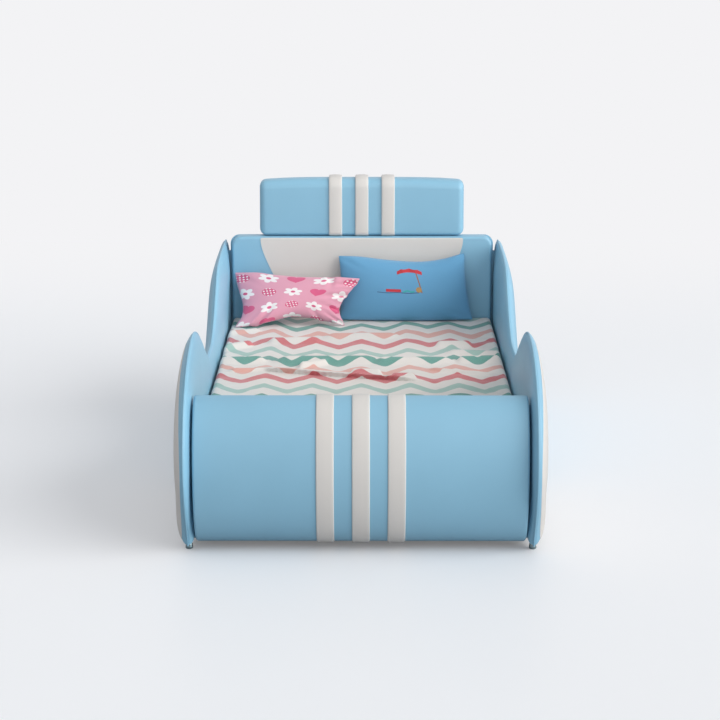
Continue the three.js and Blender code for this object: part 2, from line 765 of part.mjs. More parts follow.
function headboardBoardGeometry() {
  const [half, low, high] = headboardBoardBounds(0);
  const back = boardY + HEADBOARD_BOARD_THICKNESS;
  const board = prism(rectangle(low, high, -half, half, HEADBOARD_BOARD_INSET), boardY, back, "y", 3);
  const holes = [];
  for (const sign of [-1, 1]) {
    for (const z of bracketHoleZs()) holes.push(drill("y", boardY - 1, back + 1, z, sign * bracketHoleX()));
  }
  return cut(board, ...holes);
}

// White inset of the headboard: widest at the top, its sides curving in towards the mattress.
function insetShape(allowance) {
  const top = HEADBOARD_TOP - INSET_TOP_MARGIN + allowance;
  const low = HEADBOARD_BARE_HEIGHT + HEADBOARD_BOARD_INSET - allowance;
  const wide = INSET_TOP_WIDTH / 2 + allowance;
  const narrow = INSET_WAIST_WIDTH / 2 + allowance;
  const bendLow = low + (top - low) * 0.53;
  const bendNarrow = narrow + (wide - narrow) * 0.17;
  const bendHigh = top - (top - low) * 0.18;
  const bendWide = wide + (wide - narrow) * 0.05;
  const shape = new THREE.Shape();
  shape.moveTo(low, -narrow);
  shape.lineTo(low, narrow);
  shape.bezierCurveTo(bendLow, bendNarrow, bendHigh, bendWide, top, wide);
  shape.lineTo(top, -wide);
  shape.bezierCurveTo(bendHigh, -bendWide, bendLow, -bendNarrow, low, -narrow);
  return shape;
}

function insetCutter(allowance) {
  return prism(insetShape(allowance), headboardFrontY - 1, headboardFrontY + INSET_DEPTH + allowance, "y", 8);
}

function headboardInsetGeometry() {
  const slab = roundedSlab(
    headboardHalf(), HEADBOARD_BARE_HEIGHT, HEADBOARD_TOP,
    HEADBOARD_CORNER_RADIUS, boardY, headboardFrontY, HEADBOARD_EDGE_RADIUS,
  );
  return common(slab, insetCutter(0));
}

function headboardBackGeometry() {
  const seamAt = boardY + HEADBOARD_BOARD_THICKNESS + CONTACT_GAP;
  const slab = roundedSlab(
    innerX - HEADBOARD_BACK_END_GAP, FLOOR_CLEARANCE, HEADBOARD_TOP,
    HEADBOARD_CORNER_RADIUS, seamAt, headboardBackY, HEADBOARD_BACK_RADIUS, HEADBOARD_BACK_FALL,
  );
  const slots = [-1, 1].map((sign) => {
    const x = (sign * POST_SPACING) / 2;
    const half = POST_WIDTH / 2 + CONTACT_GAP;
    const foot = HEADBOARD_TOP - POST_GRIP - CONTACT_GAP;
    return block(x - half, x + half, seamAt - 1, seamAt + POST_DEPTH + CONTACT_GAP, foot, HEADBOARD_TOP + 1);
  });
  return cut(slab, ...slots);
}

function makeHeadboard() {
  const group = new THREE.Group();
  group.add(piece("headboard_board", headboardBoardGeometry(), PLY));
  group.add(piece("headboard_pad", headboardPadGeometry(), BLUE));
  group.add(piece("headboard_inset", headboardInsetGeometry(), WHITE));
  group.add(piece("headboard_back_body", headboardBackGeometry(), BLUE));
  return group;
}

// Bolster

// The bolster's section at a station: a rounded rectangle whose top and ends draw in.
function bolsterSection(offset, drop, under = offset) {
  const depth = BOLSTER_DEPTH / 2 + offset;
  const lowRadius = BOLSTER_LOW_RADIUS * (1 + offset / BOLSTER_SECTION_RADIUS);
  return rectanglePoints(
    bolsterY - depth, bolsterY + depth,
    bolsterBottom - under, bolsterBottom + BOLSTER_HEIGHT + offset - drop,
    lowRadius, BOLSTER_CORNER_STEPS, BOLSTER_SECTION_RADIUS + offset,
  );
}

function bolsterDrop(x) {
  const share = Math.abs(x) / (BOLSTER_WIDTH / 2);
  return BOLSTER_CROWN_DROP * share ** 4;
}

function bolsterPadGeometry() {
  const half = BOLSTER_WIDTH / 2;
  const r = BOLSTER_END_RADIUS;
  const right = [0, 0.5, 1].map((share) => {
    const turn = (Math.PI / 2) * share;
    return [half - r + r * Math.sin(turn), r * Math.cos(turn) - r];
  });
  const inner = [0.5, 0.78].map((share) => [half * share, 0]);
  const stations = [...inner, ...right];
  const all = [...stations.map(([x, offset]) => [-x, offset]).reverse(), ...stations];
  const rings = all.map(([x, offset]) =>
    bolsterSection(offset, bolsterDrop(x)).map((p) => new THREE.Vector3(x, p.x, p.y)),
  );
  const core = bolsterCoreBounds(CONTACT_GAP);
  const posts = postXs().map((x) => {
    const reach = POST_WIDTH / 2 + CONTACT_GAP;
    const front = postY() - POST_DEPTH / 2 - CONTACT_GAP;
    return block(x - reach, x + reach, front, bolsterY, bolsterBottom - 1, postTop() + CONTACT_GAP);
  });
  return cut(loft(rings, ["y", "z"]), block(...core), ...posts);
}

function bolsterCoreBounds(allowance) {
  const half = BOLSTER_WIDTH / 2 - BOLSTER_CORE_INSET + allowance;
  const front = postY() + POST_DEPTH / 2 + CONTACT_GAP;
  const low = bolsterBottom + (allowance ? -CUT_PAST : BOLSTER_CORE_LIFT);
  const high = bolsterBottom + BOLSTER_HEIGHT - BOLSTER_CORE_INSET + allowance;
  return [-half, half, front - allowance, front + BOLSTER_CORE_THICKNESS + allowance, low, high];
}

function postXs() {
  return [-POST_SPACING / 2, POST_SPACING / 2];
}

function postY() {
  return boardY + HEADBOARD_BOARD_THICKNESS + CONTACT_GAP + POST_DEPTH / 2;
}

function postTop() {
  return bolsterBottom + BOLSTER_HEIGHT * 0.6;
}

// A flat steel tube, bolted behind the headboard's board and before the bolster's core.
function postGeometry() {
  const shape = rectangle(-POST_WIDTH / 2, POST_WIDTH / 2, -POST_DEPTH / 2, POST_DEPTH / 2);
  const w = POST_WALL;
  const inner = rectangle(-POST_WIDTH / 2 + w, POST_WIDTH / 2 - w, -POST_DEPTH / 2 + w, POST_DEPTH / 2 - w);
  shape.holes.push(new THREE.Path(inner.getPoints(1)));
  return prism(shape, HEADBOARD_TOP - POST_GRIP, postTop(), "z");
}

function headStripGeometry() {
  const section = stripSection(HEAD_STRIP_WIDTH, HEAD_STRIP_RISE);
  const loops = section.map(([, height]) => bolsterSection(height, 0, Math.min(height, HEAD_STRIP_UNDER)));
  const rings = loops[0].map((_, i) =>
    section.map(([x], k) => new THREE.Vector3(x, loops[k][i].x, loops[k][i].y)),
  );
  return loopLoft(rings);
}

function makeBolster() {
  const group = new THREE.Group();
  group.add(piece("bolster_core", block(...bolsterCoreBounds(0)), PLY));
  group.add(piece("bolster_pad", bolsterPadGeometry(), BLUE));
  stripNames("bolster").forEach((name, i, names) => {
    const strip = piece(name, headStripGeometry(), WHITE);
    strip.position.x = (i - (names.length - 1) / 2) * HEAD_STRIP_PITCH;
    group.add(strip);
  });
  postXs().forEach((x, i) => {
    const post = piece(`bolster_post_${i ? "right" : "left"}`, postGeometry(), STEEL);
    post.position.set(x, postY(), 0);
    group.add(post);
  });
  return group;
}

// Steel slat base

// An angle rail: its upright leg is bolted to the side board and its flange carries the slats.
function railGeometry() {
  const outer = boardInnerX - CONTACT_GAP;
  const shape = shapeOf([
    new THREE.Vector2(railTop, outer),
    new THREE.Vector2(railTop - RAIL_HEIGHT, outer),
    new THREE.Vector2(railTop - RAIL_HEIGHT, outer - RAIL_WALL),
    new THREE.Vector2(railTop - RAIL_WALL, outer - RAIL_WALL),
    new THREE.Vector2(railTop - RAIL_WALL, outer - RAIL_FLANGE),
    new THREE.Vector2(railTop, outer - RAIL_FLANGE),
  ]);
  const rail = prism(shape, footboardBackY + RAIL_END_GAP, boardY - RAIL_END_GAP, "y");
  const z = railTop - RAIL_HEIGHT / 2;
  const holes = railHoleYs().map((y) => drill("x", outer - RAIL_WALL - 1, outer + 1, y, z));
  return cut(rail, ...holes);
}

function beamGeometry() {
  const half = BEAM_SIZE / 2;
  const low = railTop - BEAM_SIZE;
  const shape = rectangle(low, railTop, -half, half);
  const w = BEAM_WALL;
  shape.holes.push(new THREE.Path(rectangle(low + w, railTop - w, -half + w, half - w).getPoints(1)));
  const end = HANGER_WALL + 2 * CONTACT_GAP;
  return prism(shape, footboardBackY + end, boardY - end, "y");
}

// A hanger cup on the footboard or headboard that the centre beam drops into.
function hangerGeometry(faceY, direction) {
  const half = BEAM_SIZE / 2 + CONTACT_GAP;
  const bottom = railTop - BEAM_SIZE - CONTACT_GAP;
  const wallX = half + HANGER_WALL;
  const near = faceY + direction * CONTACT_GAP;
  const span = (a, b) => [Math.min(a, b), Math.max(a, b)];
  const plateY = span(near, near + direction * HANGER_WALL);
  const cupY = span(near, near + direction * HANGER_REACH);
  const wide = wallX + HANGER_PLATE_MARGIN;
  const plate = block(-wide, wide, ...plateY, bottom - HANGER_WALL, bottom + HANGER_HEIGHT);
  const cup = block(-wallX, wallX, ...cupY, bottom - HANGER_WALL, bottom + HANGER_HEIGHT);
  const top = bottom + HANGER_HEIGHT + CUT_PAST;
  const roomY = span(near + direction * HANGER_WALL, near + direction * (HANGER_REACH + CUT_PAST));
  const room = block(-half, half, ...roomY, bottom, top);
  return cut(joined(plate, cup), room);
}

function legYs() {
  return [mattressY - LEG_SPACING / 2, mattressY + LEG_SPACING / 2];
}

function legGeometry() {
  const top = railTop - BEAM_SIZE - CONTACT_GAP;
  const plateBottom = top - LEG_PLATE_THICKNESS;
  const r = LEG_DIAMETER / 2;
  const inner = r - LEG_WALL;
  const tube = new THREE.LatheGeometry(
    [
      new THREE.Vector2(inner, GLIDE_HEIGHT),
      new THREE.Vector2(r, GLIDE_HEIGHT),
      new THREE.Vector2(r, plateBottom + 1),
      new THREE.Vector2(inner, plateBottom + 1),
      new THREE.Vector2(inner, GLIDE_HEIGHT),
    ],
    16,
  ).rotateX(Math.PI / 2);
  const half = LEG_PLATE / 2;
  const plate = prism(rectangle(-half * 0.6, half * 0.6, -half, half, 6), plateBottom, top, "z", 3);
  return joined(tube, plate);
}

function glideGeometry() {
  const r = LEG_DIAMETER / 2;
  const stem = r - LEG_WALL - CONTACT_GAP;
  const seat = GLIDE_HEIGHT - CONTACT_GAP;
  return new THREE.LatheGeometry(
    [
      new THREE.Vector2(0, 0),
      new THREE.Vector2(r - 3, 0),
      new THREE.Vector2(r + 1, 4),
      new THREE.Vector2(r + 1, seat),
      new THREE.Vector2(stem, seat),
      new THREE.Vector2(stem, seat + GLIDE_STEM),
      new THREE.Vector2(0, seat + GLIDE_STEM),
    ],
    16,
  ).rotateX(Math.PI / 2);
}

// A steel angle in the corner between a side board and the footboard or headboard.
function bracketGeometry() {
  const w = BRACKET_WALL;
  const shape = shapeOf([
    new THREE.Vector2(0, 0),
    new THREE.Vector2(0, BRACKET_LEG),
    new THREE.Vector2(-w, BRACKET_LEG),
    new THREE.Vector2(-w, w),
    new THREE.Vector2(-BRACKET_LEG, w),
    new THREE.Vector2(-BRACKET_LEG, 0),
  ]);
  const angle = prism(shape, BRACKET_BOTTOM, BRACKET_BOTTOM + BRACKET_HEIGHT, "z");
  const acrossX = -(BRACKET_LEG * 0.7 - CONTACT_GAP);
  const alongY = BRACKET_LEG * 0.6 - CONTACT_GAP;
  const holes = bracketHoleZs().flatMap((z) => [
    drill("x", -w - 1, 1, alongY, z),
    drill("y", -1, w + 1, z, acrossX),
  ]);
  return cut(angle, ...holes);
}

function slatGeometry() {
  const half = innerX - SLAT_END_GAP;
  const c = SLAT_CHAMFER;
  const w = SLAT_WIDTH / 2;
  const low = slatTop - SLAT_THICKNESS;
  const shape = shapeOf([
    new THREE.Vector2(-w + c, low),
    new THREE.Vector2(w - c, low),
    new THREE.Vector2(w, low + c),
    new THREE.Vector2(w, slatTop - c),
    new THREE.Vector2(w - c, slatTop),
    new THREE.Vector2(-w + c, slatTop),
    new THREE.Vector2(-w, slatTop - c),
    new THREE.Vector2(-w, low + c),
  ]);
  return prism(shape, -half, half, "x");
}

function makeBase() {
  const group = new THREE.Group();
  for (const [side, sign] of [["left", -1], ["right", 1]]) {
    const rail = piece(`side_rail_${side}`, railGeometry(), STEEL);
    rail.scale.x = sign;
    group.add(rail);
    const foot = piece(`bracket_foot_${side}`, bracketGeometry(), STEEL);
    foot.position.set(sign * (boardInnerX - CONTACT_GAP), footboardBackY + CONTACT_GAP, 0);
    foot.scale.x = sign;
    group.add(foot);
    const head = piece(`bracket_head_${side}`, bracketGeometry(), STEEL);
    head.position.set(sign * (boardInnerX - CONTACT_GAP), boardY - CONTACT_GAP, 0);
    head.scale.set(sign, -1, 1);
    group.add(head);
  }
  group.add(piece("centre_beam", beamGeometry(), STEEL));
  group.add(piece("beam_hanger_foot", hangerGeometry(footboardBackY, 1), STEEL));
  group.add(piece("beam_hanger_head", hangerGeometry(boardY, -1), STEEL));
  legYs().forEach((y, i) => {
    const leg = piece(`centre_leg_${i ? "head" : "foot"}`, legGeometry(), STEEL);
    leg.position.y = y;
    group.add(leg);
    const glide = piece(`leg_glide_${i ? "head" : "foot"}`, glideGeometry(), NYLON);
    glide.position.y = y;
    group.add(glide);
  });
  const first = mattressY - MATTRESS_LENGTH / 2 + SLAT_WIDTH / 2 + MATTRESS_EDGE_RADIUS;
  const last = 2 * mattressY - first;
  for (let i = 0; i < SLAT_COUNT; i++) {
    const slat = piece(`slat_${String(i + 1).padStart(2, "0")}`, slatGeometry(), SLAT_WOOD);
    slat.position.y = first + ((last - first) * i) / (SLAT_COUNT - 1);
    group.add(slat);
  }
  return group;
}

// Bedding

// The mattress: rounded in plan and along its edges, its border drawn in at half height.
function mattressGeometry() {
  const r = MATTRESS_EDGE_RADIUS;
  const stations = [
    [MATTRESS_BOTTOM, r * 0.8],
    [MATTRESS_BOTTOM + r * 0.3, r * 0.25],
    [MATTRESS_BOTTOM + r, 0],
    [MATTRESS_BOTTOM + MATTRESS_THICKNESS / 2, MATTRESS_SIDE_DRAW_IN],
    [mattressTop - r, 0],
    [mattressTop - r * 0.3, r * 0.25],
    [mattressTop, r * 0.9],
  ];
  const rings = stations.map(([z, inset]) =>
    rectanglePoints(
      -MATTRESS_WIDTH / 2 + inset, MATTRESS_WIDTH / 2 - inset,
      mattressY - MATTRESS_LENGTH / 2 + inset, mattressY + MATTRESS_LENGTH / 2 - inset,
      MATTRESS_CORNER_RADIUS, 4,
    ).map((p) => new THREE.Vector3(p.x, p.y, z)),
  );
  return loft(rings, ["x", "y"]);
}

function foldHeight(x, y) {
  return QUILT_FOLDS.reduce((most, fold) => {
    const along = Math.max(0, 1 - ((x - fold.x) / fold.reach) ** 2);
    const across = (y - fold.y - (x - fold.x) * fold.skew) / fold.run;
    const shape = Math.max(0, 1 - across * across);
    return Math.max(most, fold.rise * along * shape * shape);
  }, 0);
}

// The quilt: a flat underside on the mattress, a folded top and two drops beside the mattress.
function quiltGeometry() {
  const inner = MATTRESS_WIDTH / 2 + CONTACT_GAP;
  const outer = MATTRESS_WIDTH / 2 + QUILT_SIDE;
  const under = mattressTop + CONTACT_GAP;
  const hem = mattressTop - QUILT_DROP;
  const from = mattressY - MATTRESS_LENGTH / 2;
  const to = mattressY + MATTRESS_LENGTH / 2 - QUILT_HEAD_MARGIN;
  const across = 12;
  const lengthwise = 44;
  const rings = Array.from({ length: lengthwise + 1 }, (_, j) => {
    const y = from + ((to - from) * j) / lengthwise;
    const ring = [[-outer, hem], [-outer, under - QUILT_THICKNESS]];
    for (let i = 0; i <= across; i++) {
      const x = -outer + QUILT_THICKNESS + ((2 * (outer - QUILT_THICKNESS)) * i) / across;
      ring.push([x, under + QUILT_THICKNESS + foldHeight(x, y - mattressY)]);
    }
    ring.push([outer, under - QUILT_THICKNESS], [outer, hem], [inner, hem], [inner, under]);
    ring.push([-inner, under], [-inner, hem]);
    return ring.map(([x, z]) => new THREE.Vector3(x, y, z));
  });
  return loft(rings, ["x", "z"]);
}

// A pillow over a four-cornered patch: sides drawn in, crowned on both faces.
function pillowGeometry(corners, across, up) {
  const [lowLeft, lowRight, topLeft, topRight] = corners.map((c) => new THREE.Vector3(...c));
  const width = lowRight.clone().sub(lowLeft).add(topRight).sub(topLeft);
  const height = topLeft.clone().sub(lowLeft).add(topRight).sub(lowRight);
  const normal = width.cross(height).normalize();
  const middleOf = (u, v) => {
    const low = lowLeft.clone().lerp(lowRight, u);
    const top = topLeft.clone().lerp(topRight, u);
    return low.lerp(top, v);
  };
  const fullness = (t) => (1 - Math.abs(2 * t - 1) ** 2.4) ** 0.7;
  const drawn = (t, other) => t + (0.5 - t) * 0.1 * 4 * other * (1 - other) * Math.abs(2 * t - 1);
  const points = [];
  const faces = [];
  const index = new Map();
  const at = (i, j, face) => {
    const edge = i === 0 || j === 0 || i === across || j === up;
    const key = `${i}_${j}_${edge ? 0 : face}`;
    if (!index.has(key)) {
      const u = i / across;
      const v = j / up;
      const lift = edge ? 0 : face * PILLOW_HALF_THICKNESS * fullness(u) * fullness(v);
      index.set(key, points.length);
      points.push(middleOf(drawn(u, v), drawn(v, u)).addScaledVector(normal, lift));
    }
    return index.get(key);
  };
  for (const face of [1, -1]) {
    for (let i = 0; i < across; i++) {
      for (let j = 0; j < up; j++) {
        const quad = [at(i, j, face), at(i + 1, j, face), at(i + 1, j + 1, face), at(i, j + 1, face)];
        const ring = face > 0 ? quad : quad.reverse();
        faces.push([ring[0], ring[1], ring[2]]);
        faces.push([ring[0], ring[2], ring[3]]);
      }
    }
  }
  return facingOut(points, faces);
}

// A pillow's corners in the bed's frame: low left, low right, top left and top right.
function pillowCorners(place) {
  const rest = mattressTop + CONTACT_GAP + QUILT_THICKNESS + CONTACT_GAP;
  const corners = [place.lowLeft, place.lowRight, place.topLeft, place.topRight];
  return corners.map(([x, setback, rise]) => [x, headboardFrontY - setback, rest + rise]);
}

function makeBedding() {
  const group = new THREE.Group();
  group.add(piece("mattress", mattressGeometry(), TICKING));
  group.add(piece("quilt", quiltGeometry(), QUILTING));
  group.add(piece("pillow_pink", pillowGeometry(pillowCorners(PINK_PILLOW), 12, 8), PINK_COTTON));
  group.add(piece("pillow_blue", pillowGeometry(pillowCorners(BLUE_PILLOW), 12, 8), BLUE_COTTON));
  return group;
}

function piece(name, geometry, finish) {
  const mesh = new THREE.Mesh(geometry, new THREE.MeshStandardMaterial(finish));
  mesh.name = name;
  return mesh;
}

const bed = new THREE.Group();
bed.add(makeSide("left", -1), makeSide("right", 1));
bed.add(makeFeet(), makeFootboard(), makeHeadboard(), makeBolster(), makeBase(), makeBedding());

export default bed;
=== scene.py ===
import json
import math

import bmesh
import bpy
from mathutils import Matrix, Vector, noise
from mathutils.bvhtree import BVHTree
from mathutils.geometry import interpolate_bezier


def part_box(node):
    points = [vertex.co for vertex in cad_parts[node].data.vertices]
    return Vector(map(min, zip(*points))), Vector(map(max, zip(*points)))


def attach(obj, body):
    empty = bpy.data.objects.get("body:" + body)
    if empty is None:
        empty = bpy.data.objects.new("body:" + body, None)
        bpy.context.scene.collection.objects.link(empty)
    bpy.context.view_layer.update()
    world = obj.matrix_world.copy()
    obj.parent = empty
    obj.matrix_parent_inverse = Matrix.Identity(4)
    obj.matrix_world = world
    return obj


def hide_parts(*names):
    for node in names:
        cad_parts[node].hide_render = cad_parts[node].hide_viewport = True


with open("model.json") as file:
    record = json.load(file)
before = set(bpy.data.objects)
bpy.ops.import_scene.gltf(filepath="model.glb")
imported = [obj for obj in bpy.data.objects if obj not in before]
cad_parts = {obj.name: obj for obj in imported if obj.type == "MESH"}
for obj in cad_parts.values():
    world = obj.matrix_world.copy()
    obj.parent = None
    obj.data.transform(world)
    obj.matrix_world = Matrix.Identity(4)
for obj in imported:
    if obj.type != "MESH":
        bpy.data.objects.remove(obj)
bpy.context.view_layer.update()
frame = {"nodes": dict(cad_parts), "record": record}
scene = bpy.context.scene


# Shader maths written as Python: a Wire is a socket, a Finish is a material that makes nodes.
class Wire:
    def __init__(self, finish, socket):
        self.finish = finish
        self.socket = socket

    def maths(self, operation, *values):
        return self.finish.node("ShaderNodeMath", {"operation": operation}, dict(enumerate((self, *values))))

    def __neg__(self):
        return self * -1

    def __rsub__(self, other):
        return -self + other

    def __rtruediv__(self, other):
        return self ** -1 * other

    def within(self, edge, softness):  # 1 below the edge, 0 above it
        settings = {"interpolation_type": "SMOOTHSTEP"}
        values = {0: self, 1: edge - softness, 2: edge + softness, 3: 1, 4: 0}
        return self.finish.node("ShaderNodeMapRange", settings, values)


def mathsMethod(operation):
    return lambda wire, *values: wire.maths(operation, *values)


mathsMethods = {
    "__add__": "ADD", "__radd__": "ADD", "__sub__": "SUBTRACT", "__mul__": "MULTIPLY", "__rmul__": "MULTIPLY",
    "__truediv__": "DIVIDE", "__mod__": "FLOORED_MODULO", "__pow__": "POWER", "__abs__": "ABSOLUTE",
    "__lt__": "LESS_THAN", "__gt__": "GREATER_THAN", "floor": "FLOOR", "sine": "SINE",
    "least": "MINIMUM", "most": "MAXIMUM",
}
for methodName, operation in mathsMethods.items():
    setattr(Wire, methodName, mathsMethod(operation))


class Finish:
    def __init__(self, name, **constants):
        self.material = bpy.data.materials.new(name)
        self.material.use_nodes = True
        self.tree = self.material.node_tree
        self.shader = self.tree.nodes["Principled BSDF"]
        for socket, value in constants.items():
            self.shader.inputs[socket.replace("_", " ")].default_value = value

    def node(self, kind, settings=None, values=None, output=0):
        made = self.tree.nodes.new(kind)
        for key, value in (settings or {}).items():
            if key == "stops":
                self.setStops(made.color_ramp, value)
            else:
                setattr(made, key, value)
        for key, value in (values or {}).items():
            if isinstance(value, Wire):
                self.tree.links.new(value.socket, made.inputs[key])
            else:
                made.inputs[key].default_value = value
        return Wire(self, made.outputs[output])

    def setStops(self, ramp, stops):
        while len(ramp.elements) < len(stops):
            ramp.elements.new(0.5)
        for element, (position, colour) in zip(ramp.elements, stops):
            element.position = position
            element.color = (*colour, 1)

    def place(self, source="Object"):
        return self.node("ShaderNodeTexCoord", output=source)

    def stretch(self, place, scale):
        return self.node("ShaderNodeMapping", {}, {"Vector": place, "Scale": scale})

    def split(self, place):
        parts = self.node("ShaderNodeSeparateXYZ", {}, {0: place})
        return [Wire(self, parts.socket.node.outputs[axis]) for axis in range(3)]

    def cloud(self, place, scale, detail=3, roughness=0.5):
        values = {"Vector": place, "Scale": scale, "Detail": detail, "Roughness": roughness}
        return self.node("ShaderNodeTexNoise", {}, values)

    def mix(self, share, low, high):
        low = low if isinstance(low, Wire) else (*low, 1)
        high = high if isinstance(high, Wire) else (*high, 1)
        return self.node("ShaderNodeMix", {"data_type": "RGBA"}, {0: share, 6: low, 7: high}, 2)

    def ramp(self, share, stops, step=False):
        made = self.node("ShaderNodeValToRGB", {"stops": stops}, {0: share})
        if step:
            made.socket.node.color_ramp.interpolation = "CONSTANT"
        return made

    def paint(self, **wires):
        for socket, wire in wires.items():
            self.tree.links.new(wire.socket, self.shader.inputs[socket.replace("_", " ")])
        return self

    def bump(self, *layers):  # each layer is (height, depth in metres), the last lies on top
        normal = None
        for height, depth in layers:
            values = {"Height": height, "Distance": depth, "Strength": 1}
            if normal:
                values["Normal"] = normal
            normal = self.node("ShaderNodeBump", {}, values)
        return self.paint(Normal=normal)


def tone(*display):  # display values 0 to 255 as linear light
    return tuple(((c / 255 + 0.055) / 1.055) ** 2.4 if c > 10 else c / 255 / 12.92 for c in display)


def darker(colour, share):
    return tuple(c * share for c in colour)


print("materials")

leatherLook = {
    "blue": tone(134, 183, 208),
    "white": tone(209, 206, 202),
    "grain": 780,
    "grainDepth": 0.00007,
    "pore": 2600,
    "poreDepth": 0.00002,
    "slackDepth": 0.0005,
}


def leather(name, colour):
    look = leatherLook
    finish = Finish(name, Roughness=0.44, Coat_Roughness=0.35)
    place = finish.place()
    values = {"Vector": place, "Scale": look["grain"], "Smoothness": 0.7}
    pebbles = finish.node("ShaderNodeTexVoronoi", {"feature": "SMOOTH_F1"}, values)
    drift = finish.cloud(place, 5, 3)
    slack = finish.cloud(place, 9, 2, 0.4)
    worn = finish.cloud(place, 38, 5, 0.65)
    cover = finish.mix(drift, darker(colour, 0.95), darker(colour, 1.03))
    valleys = (pebbles * 1.4).least(1)
    finish.paint(
        Base_Color=finish.mix(valleys * 0.10, cover, darker(colour, 0.78)),
        Roughness=0.40 + worn * 0.10 + valleys * 0.05,
        Coat_Weight=0.10 + drift * 0.08,
    )
    pores = (finish.cloud(place, look["pore"], 2), look["poreDepth"])
    return finish.bump((slack, look["slackDepth"]), (pebbles * -1, look["grainDepth"]), pores).material


weaveLook = {"thread": 0.0009, "depth": 0.00012}


def cotton(name, thread=weaveLook["thread"], source="UV"):
    finish = Finish(name, Roughness=0.9, Sheen_Weight=0.25, Sheen_Roughness=0.5)
    place = finish.place(source)
    across, along, _ = finish.split(place)
    turns = 2 * math.pi / thread
    weave = abs((across * turns).sine() * (along * turns / 2).sine())
    slub = finish.cloud(finish.stretch(place, (1, 14, 1)), 60, 3)
    return finish, across, along, weave, slub


def wood(name, light, dark, alongAxis):
    finish = Finish(name, Roughness=0.6)
    scale = [26, 26, 26]
    scale[alongAxis] = 1.6
    place = finish.stretch(finish.place(), scale)
    values = {"Vector": place, "Scale": 1.0, "Detail": 6, "Roughness": 0.62, "Distortion": 0.6}
    years = finish.node("ShaderNodeTexNoise", {}, values)
    fibre = finish.cloud(finish.stretch(finish.place(), [s * 14 for s in scale]), 1.2, 2)
    colour = finish.ramp(years, [(0.3, dark), (0.52, light), (0.75, darker(light, 1.08))])
    finish.paint(Base_Color=finish.mix(fibre * 0.25, colour, dark), Roughness=0.52 + fibre * 0.2)
    return finish.bump((fibre, 0.0002)).material


# A plain material: two tones in patches, a roughness that grows by its spread with them, and a fine grain.
def patchy(name, tones, patches, roughness, spread, grain, depth, metallic=0):
    finish = Finish(name, Metallic=metallic)
    place = finish.place()
    patch = finish.cloud(place, *patches)
    finish.paint(Base_Color=finish.mix(patch, *tones), Roughness=roughness + patch * spread)
    return finish.bump((finish.cloud(place, grain, 2), depth)).material


steel = tone(62, 65, 70)
steelTones = (darker(steel, 0.85), darker(steel, 1.25))
# The chrome's two tones are darkened and given a blue-teal cast: painted shade, as under the side panels,
# laid over the chrome's own colour; the feet and bolt heads carry it.
chromeShadedTones = (tone(112, 134, 142), tone(146, 166, 172))
nylonTones = (tone(38, 40, 44), tone(62, 64, 68))
leatherBlue = leather("leatherBlue", leatherLook["blue"])
leatherWhite = leather("leatherWhite", leatherLook["white"])
slatWood = wood("slatBeech", tone(222, 194, 148), tone(176, 138, 92), 0)
boardWood = wood("boardPly", tone(208, 176, 130), tone(160, 124, 82), 1)
frameSteel = patchy("frameSteel", steelTones, (14, 5, 0.7), 0.38, 0.2, 900, 0.00006, 0.1)
footChromePaintedShade = patchy("footChromePaintedShade", chromeShadedTones, (60, 4, 0.6), 0.16, 0.14, 420, 0.00001, 1)
glideNylon = patchy("glideNylon", nylonTones, (90, 4, 0.7), 0.5, 0.2, 1500, 0.00003)

threadFinish = Finish("stitchThread", Roughness=0.7)
threadTwist = threadFinish.cloud(threadFinish.place(), 1800, 2)
threadFinish.paint(Base_Color=threadFinish.mix(threadTwist, tone(196, 214, 224), tone(232, 238, 241)))
stitchThread = threadFinish.bump((threadTwist, 0.0001)).material


def lining(name, colour):
    finish, _, _, weave, slub = cotton(name, 0.0022, "Object")
    finish.paint(Base_Color=finish.mix(weave * 0.5 + slub * 0.3, darker(colour, 0.75), darker(colour, 1.2)))
    return finish.bump((weave, 0.0003)).material


liningCloth = lining("liningCloth", tone(58, 84, 104))


print("shape tools")


def dataOf(name, mesh):
    data = bpy.data.meshes.new(name)
    mesh.to_mesh(data)
    mesh.free()
    return data


def placed(name, data):
    item = bpy.data.objects.new(name, data)
    scene.collection.objects.link(item)
    return item


def addData(name, data, material, body, smoothAngle=40):
    piece = placed(name, data)
    data.materials.append(material)
    data.shade_smooth()
    data.set_sharp_from_angle(angle=math.radians(smoothAngle))
    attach(piece, body)
    return piece


def addPiece(name, mesh, material, body, smoothAngle=40):
    return addData(name, dataOf(name, mesh), material, body, smoothAngle)


def standsFor(piece, node):
    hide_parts(node)


def settled(piece):  # the piece with its modifiers made part of its mesh
    bpy.context.view_layer.update()
    shown = piece.evaluated_get(bpy.context.evaluated_depsgraph_get())
    data = bpy.data.meshes.new_from_object(shown)
    data.name = piece.name
    old = piece.data
    piece.modifiers.clear()
    piece.data = data
    bpy.data.meshes.remove(old)
    return piece


def thickened(piece, depth):  # made thicker inwards
    thickness = piece.modifiers.new("thickness", "SOLIDIFY")
    thickness.thickness = depth
    thickness.offset = -1
    return settled(piece)


def blockMesh(xs, ys, zs):  # a block between two places on each axis
    mesh = bmesh.new()
    bmesh.ops.convex_hull(mesh, input=[mesh.verts.new((x, y, z)) for x in xs for y in ys for z in zs])
    return mesh


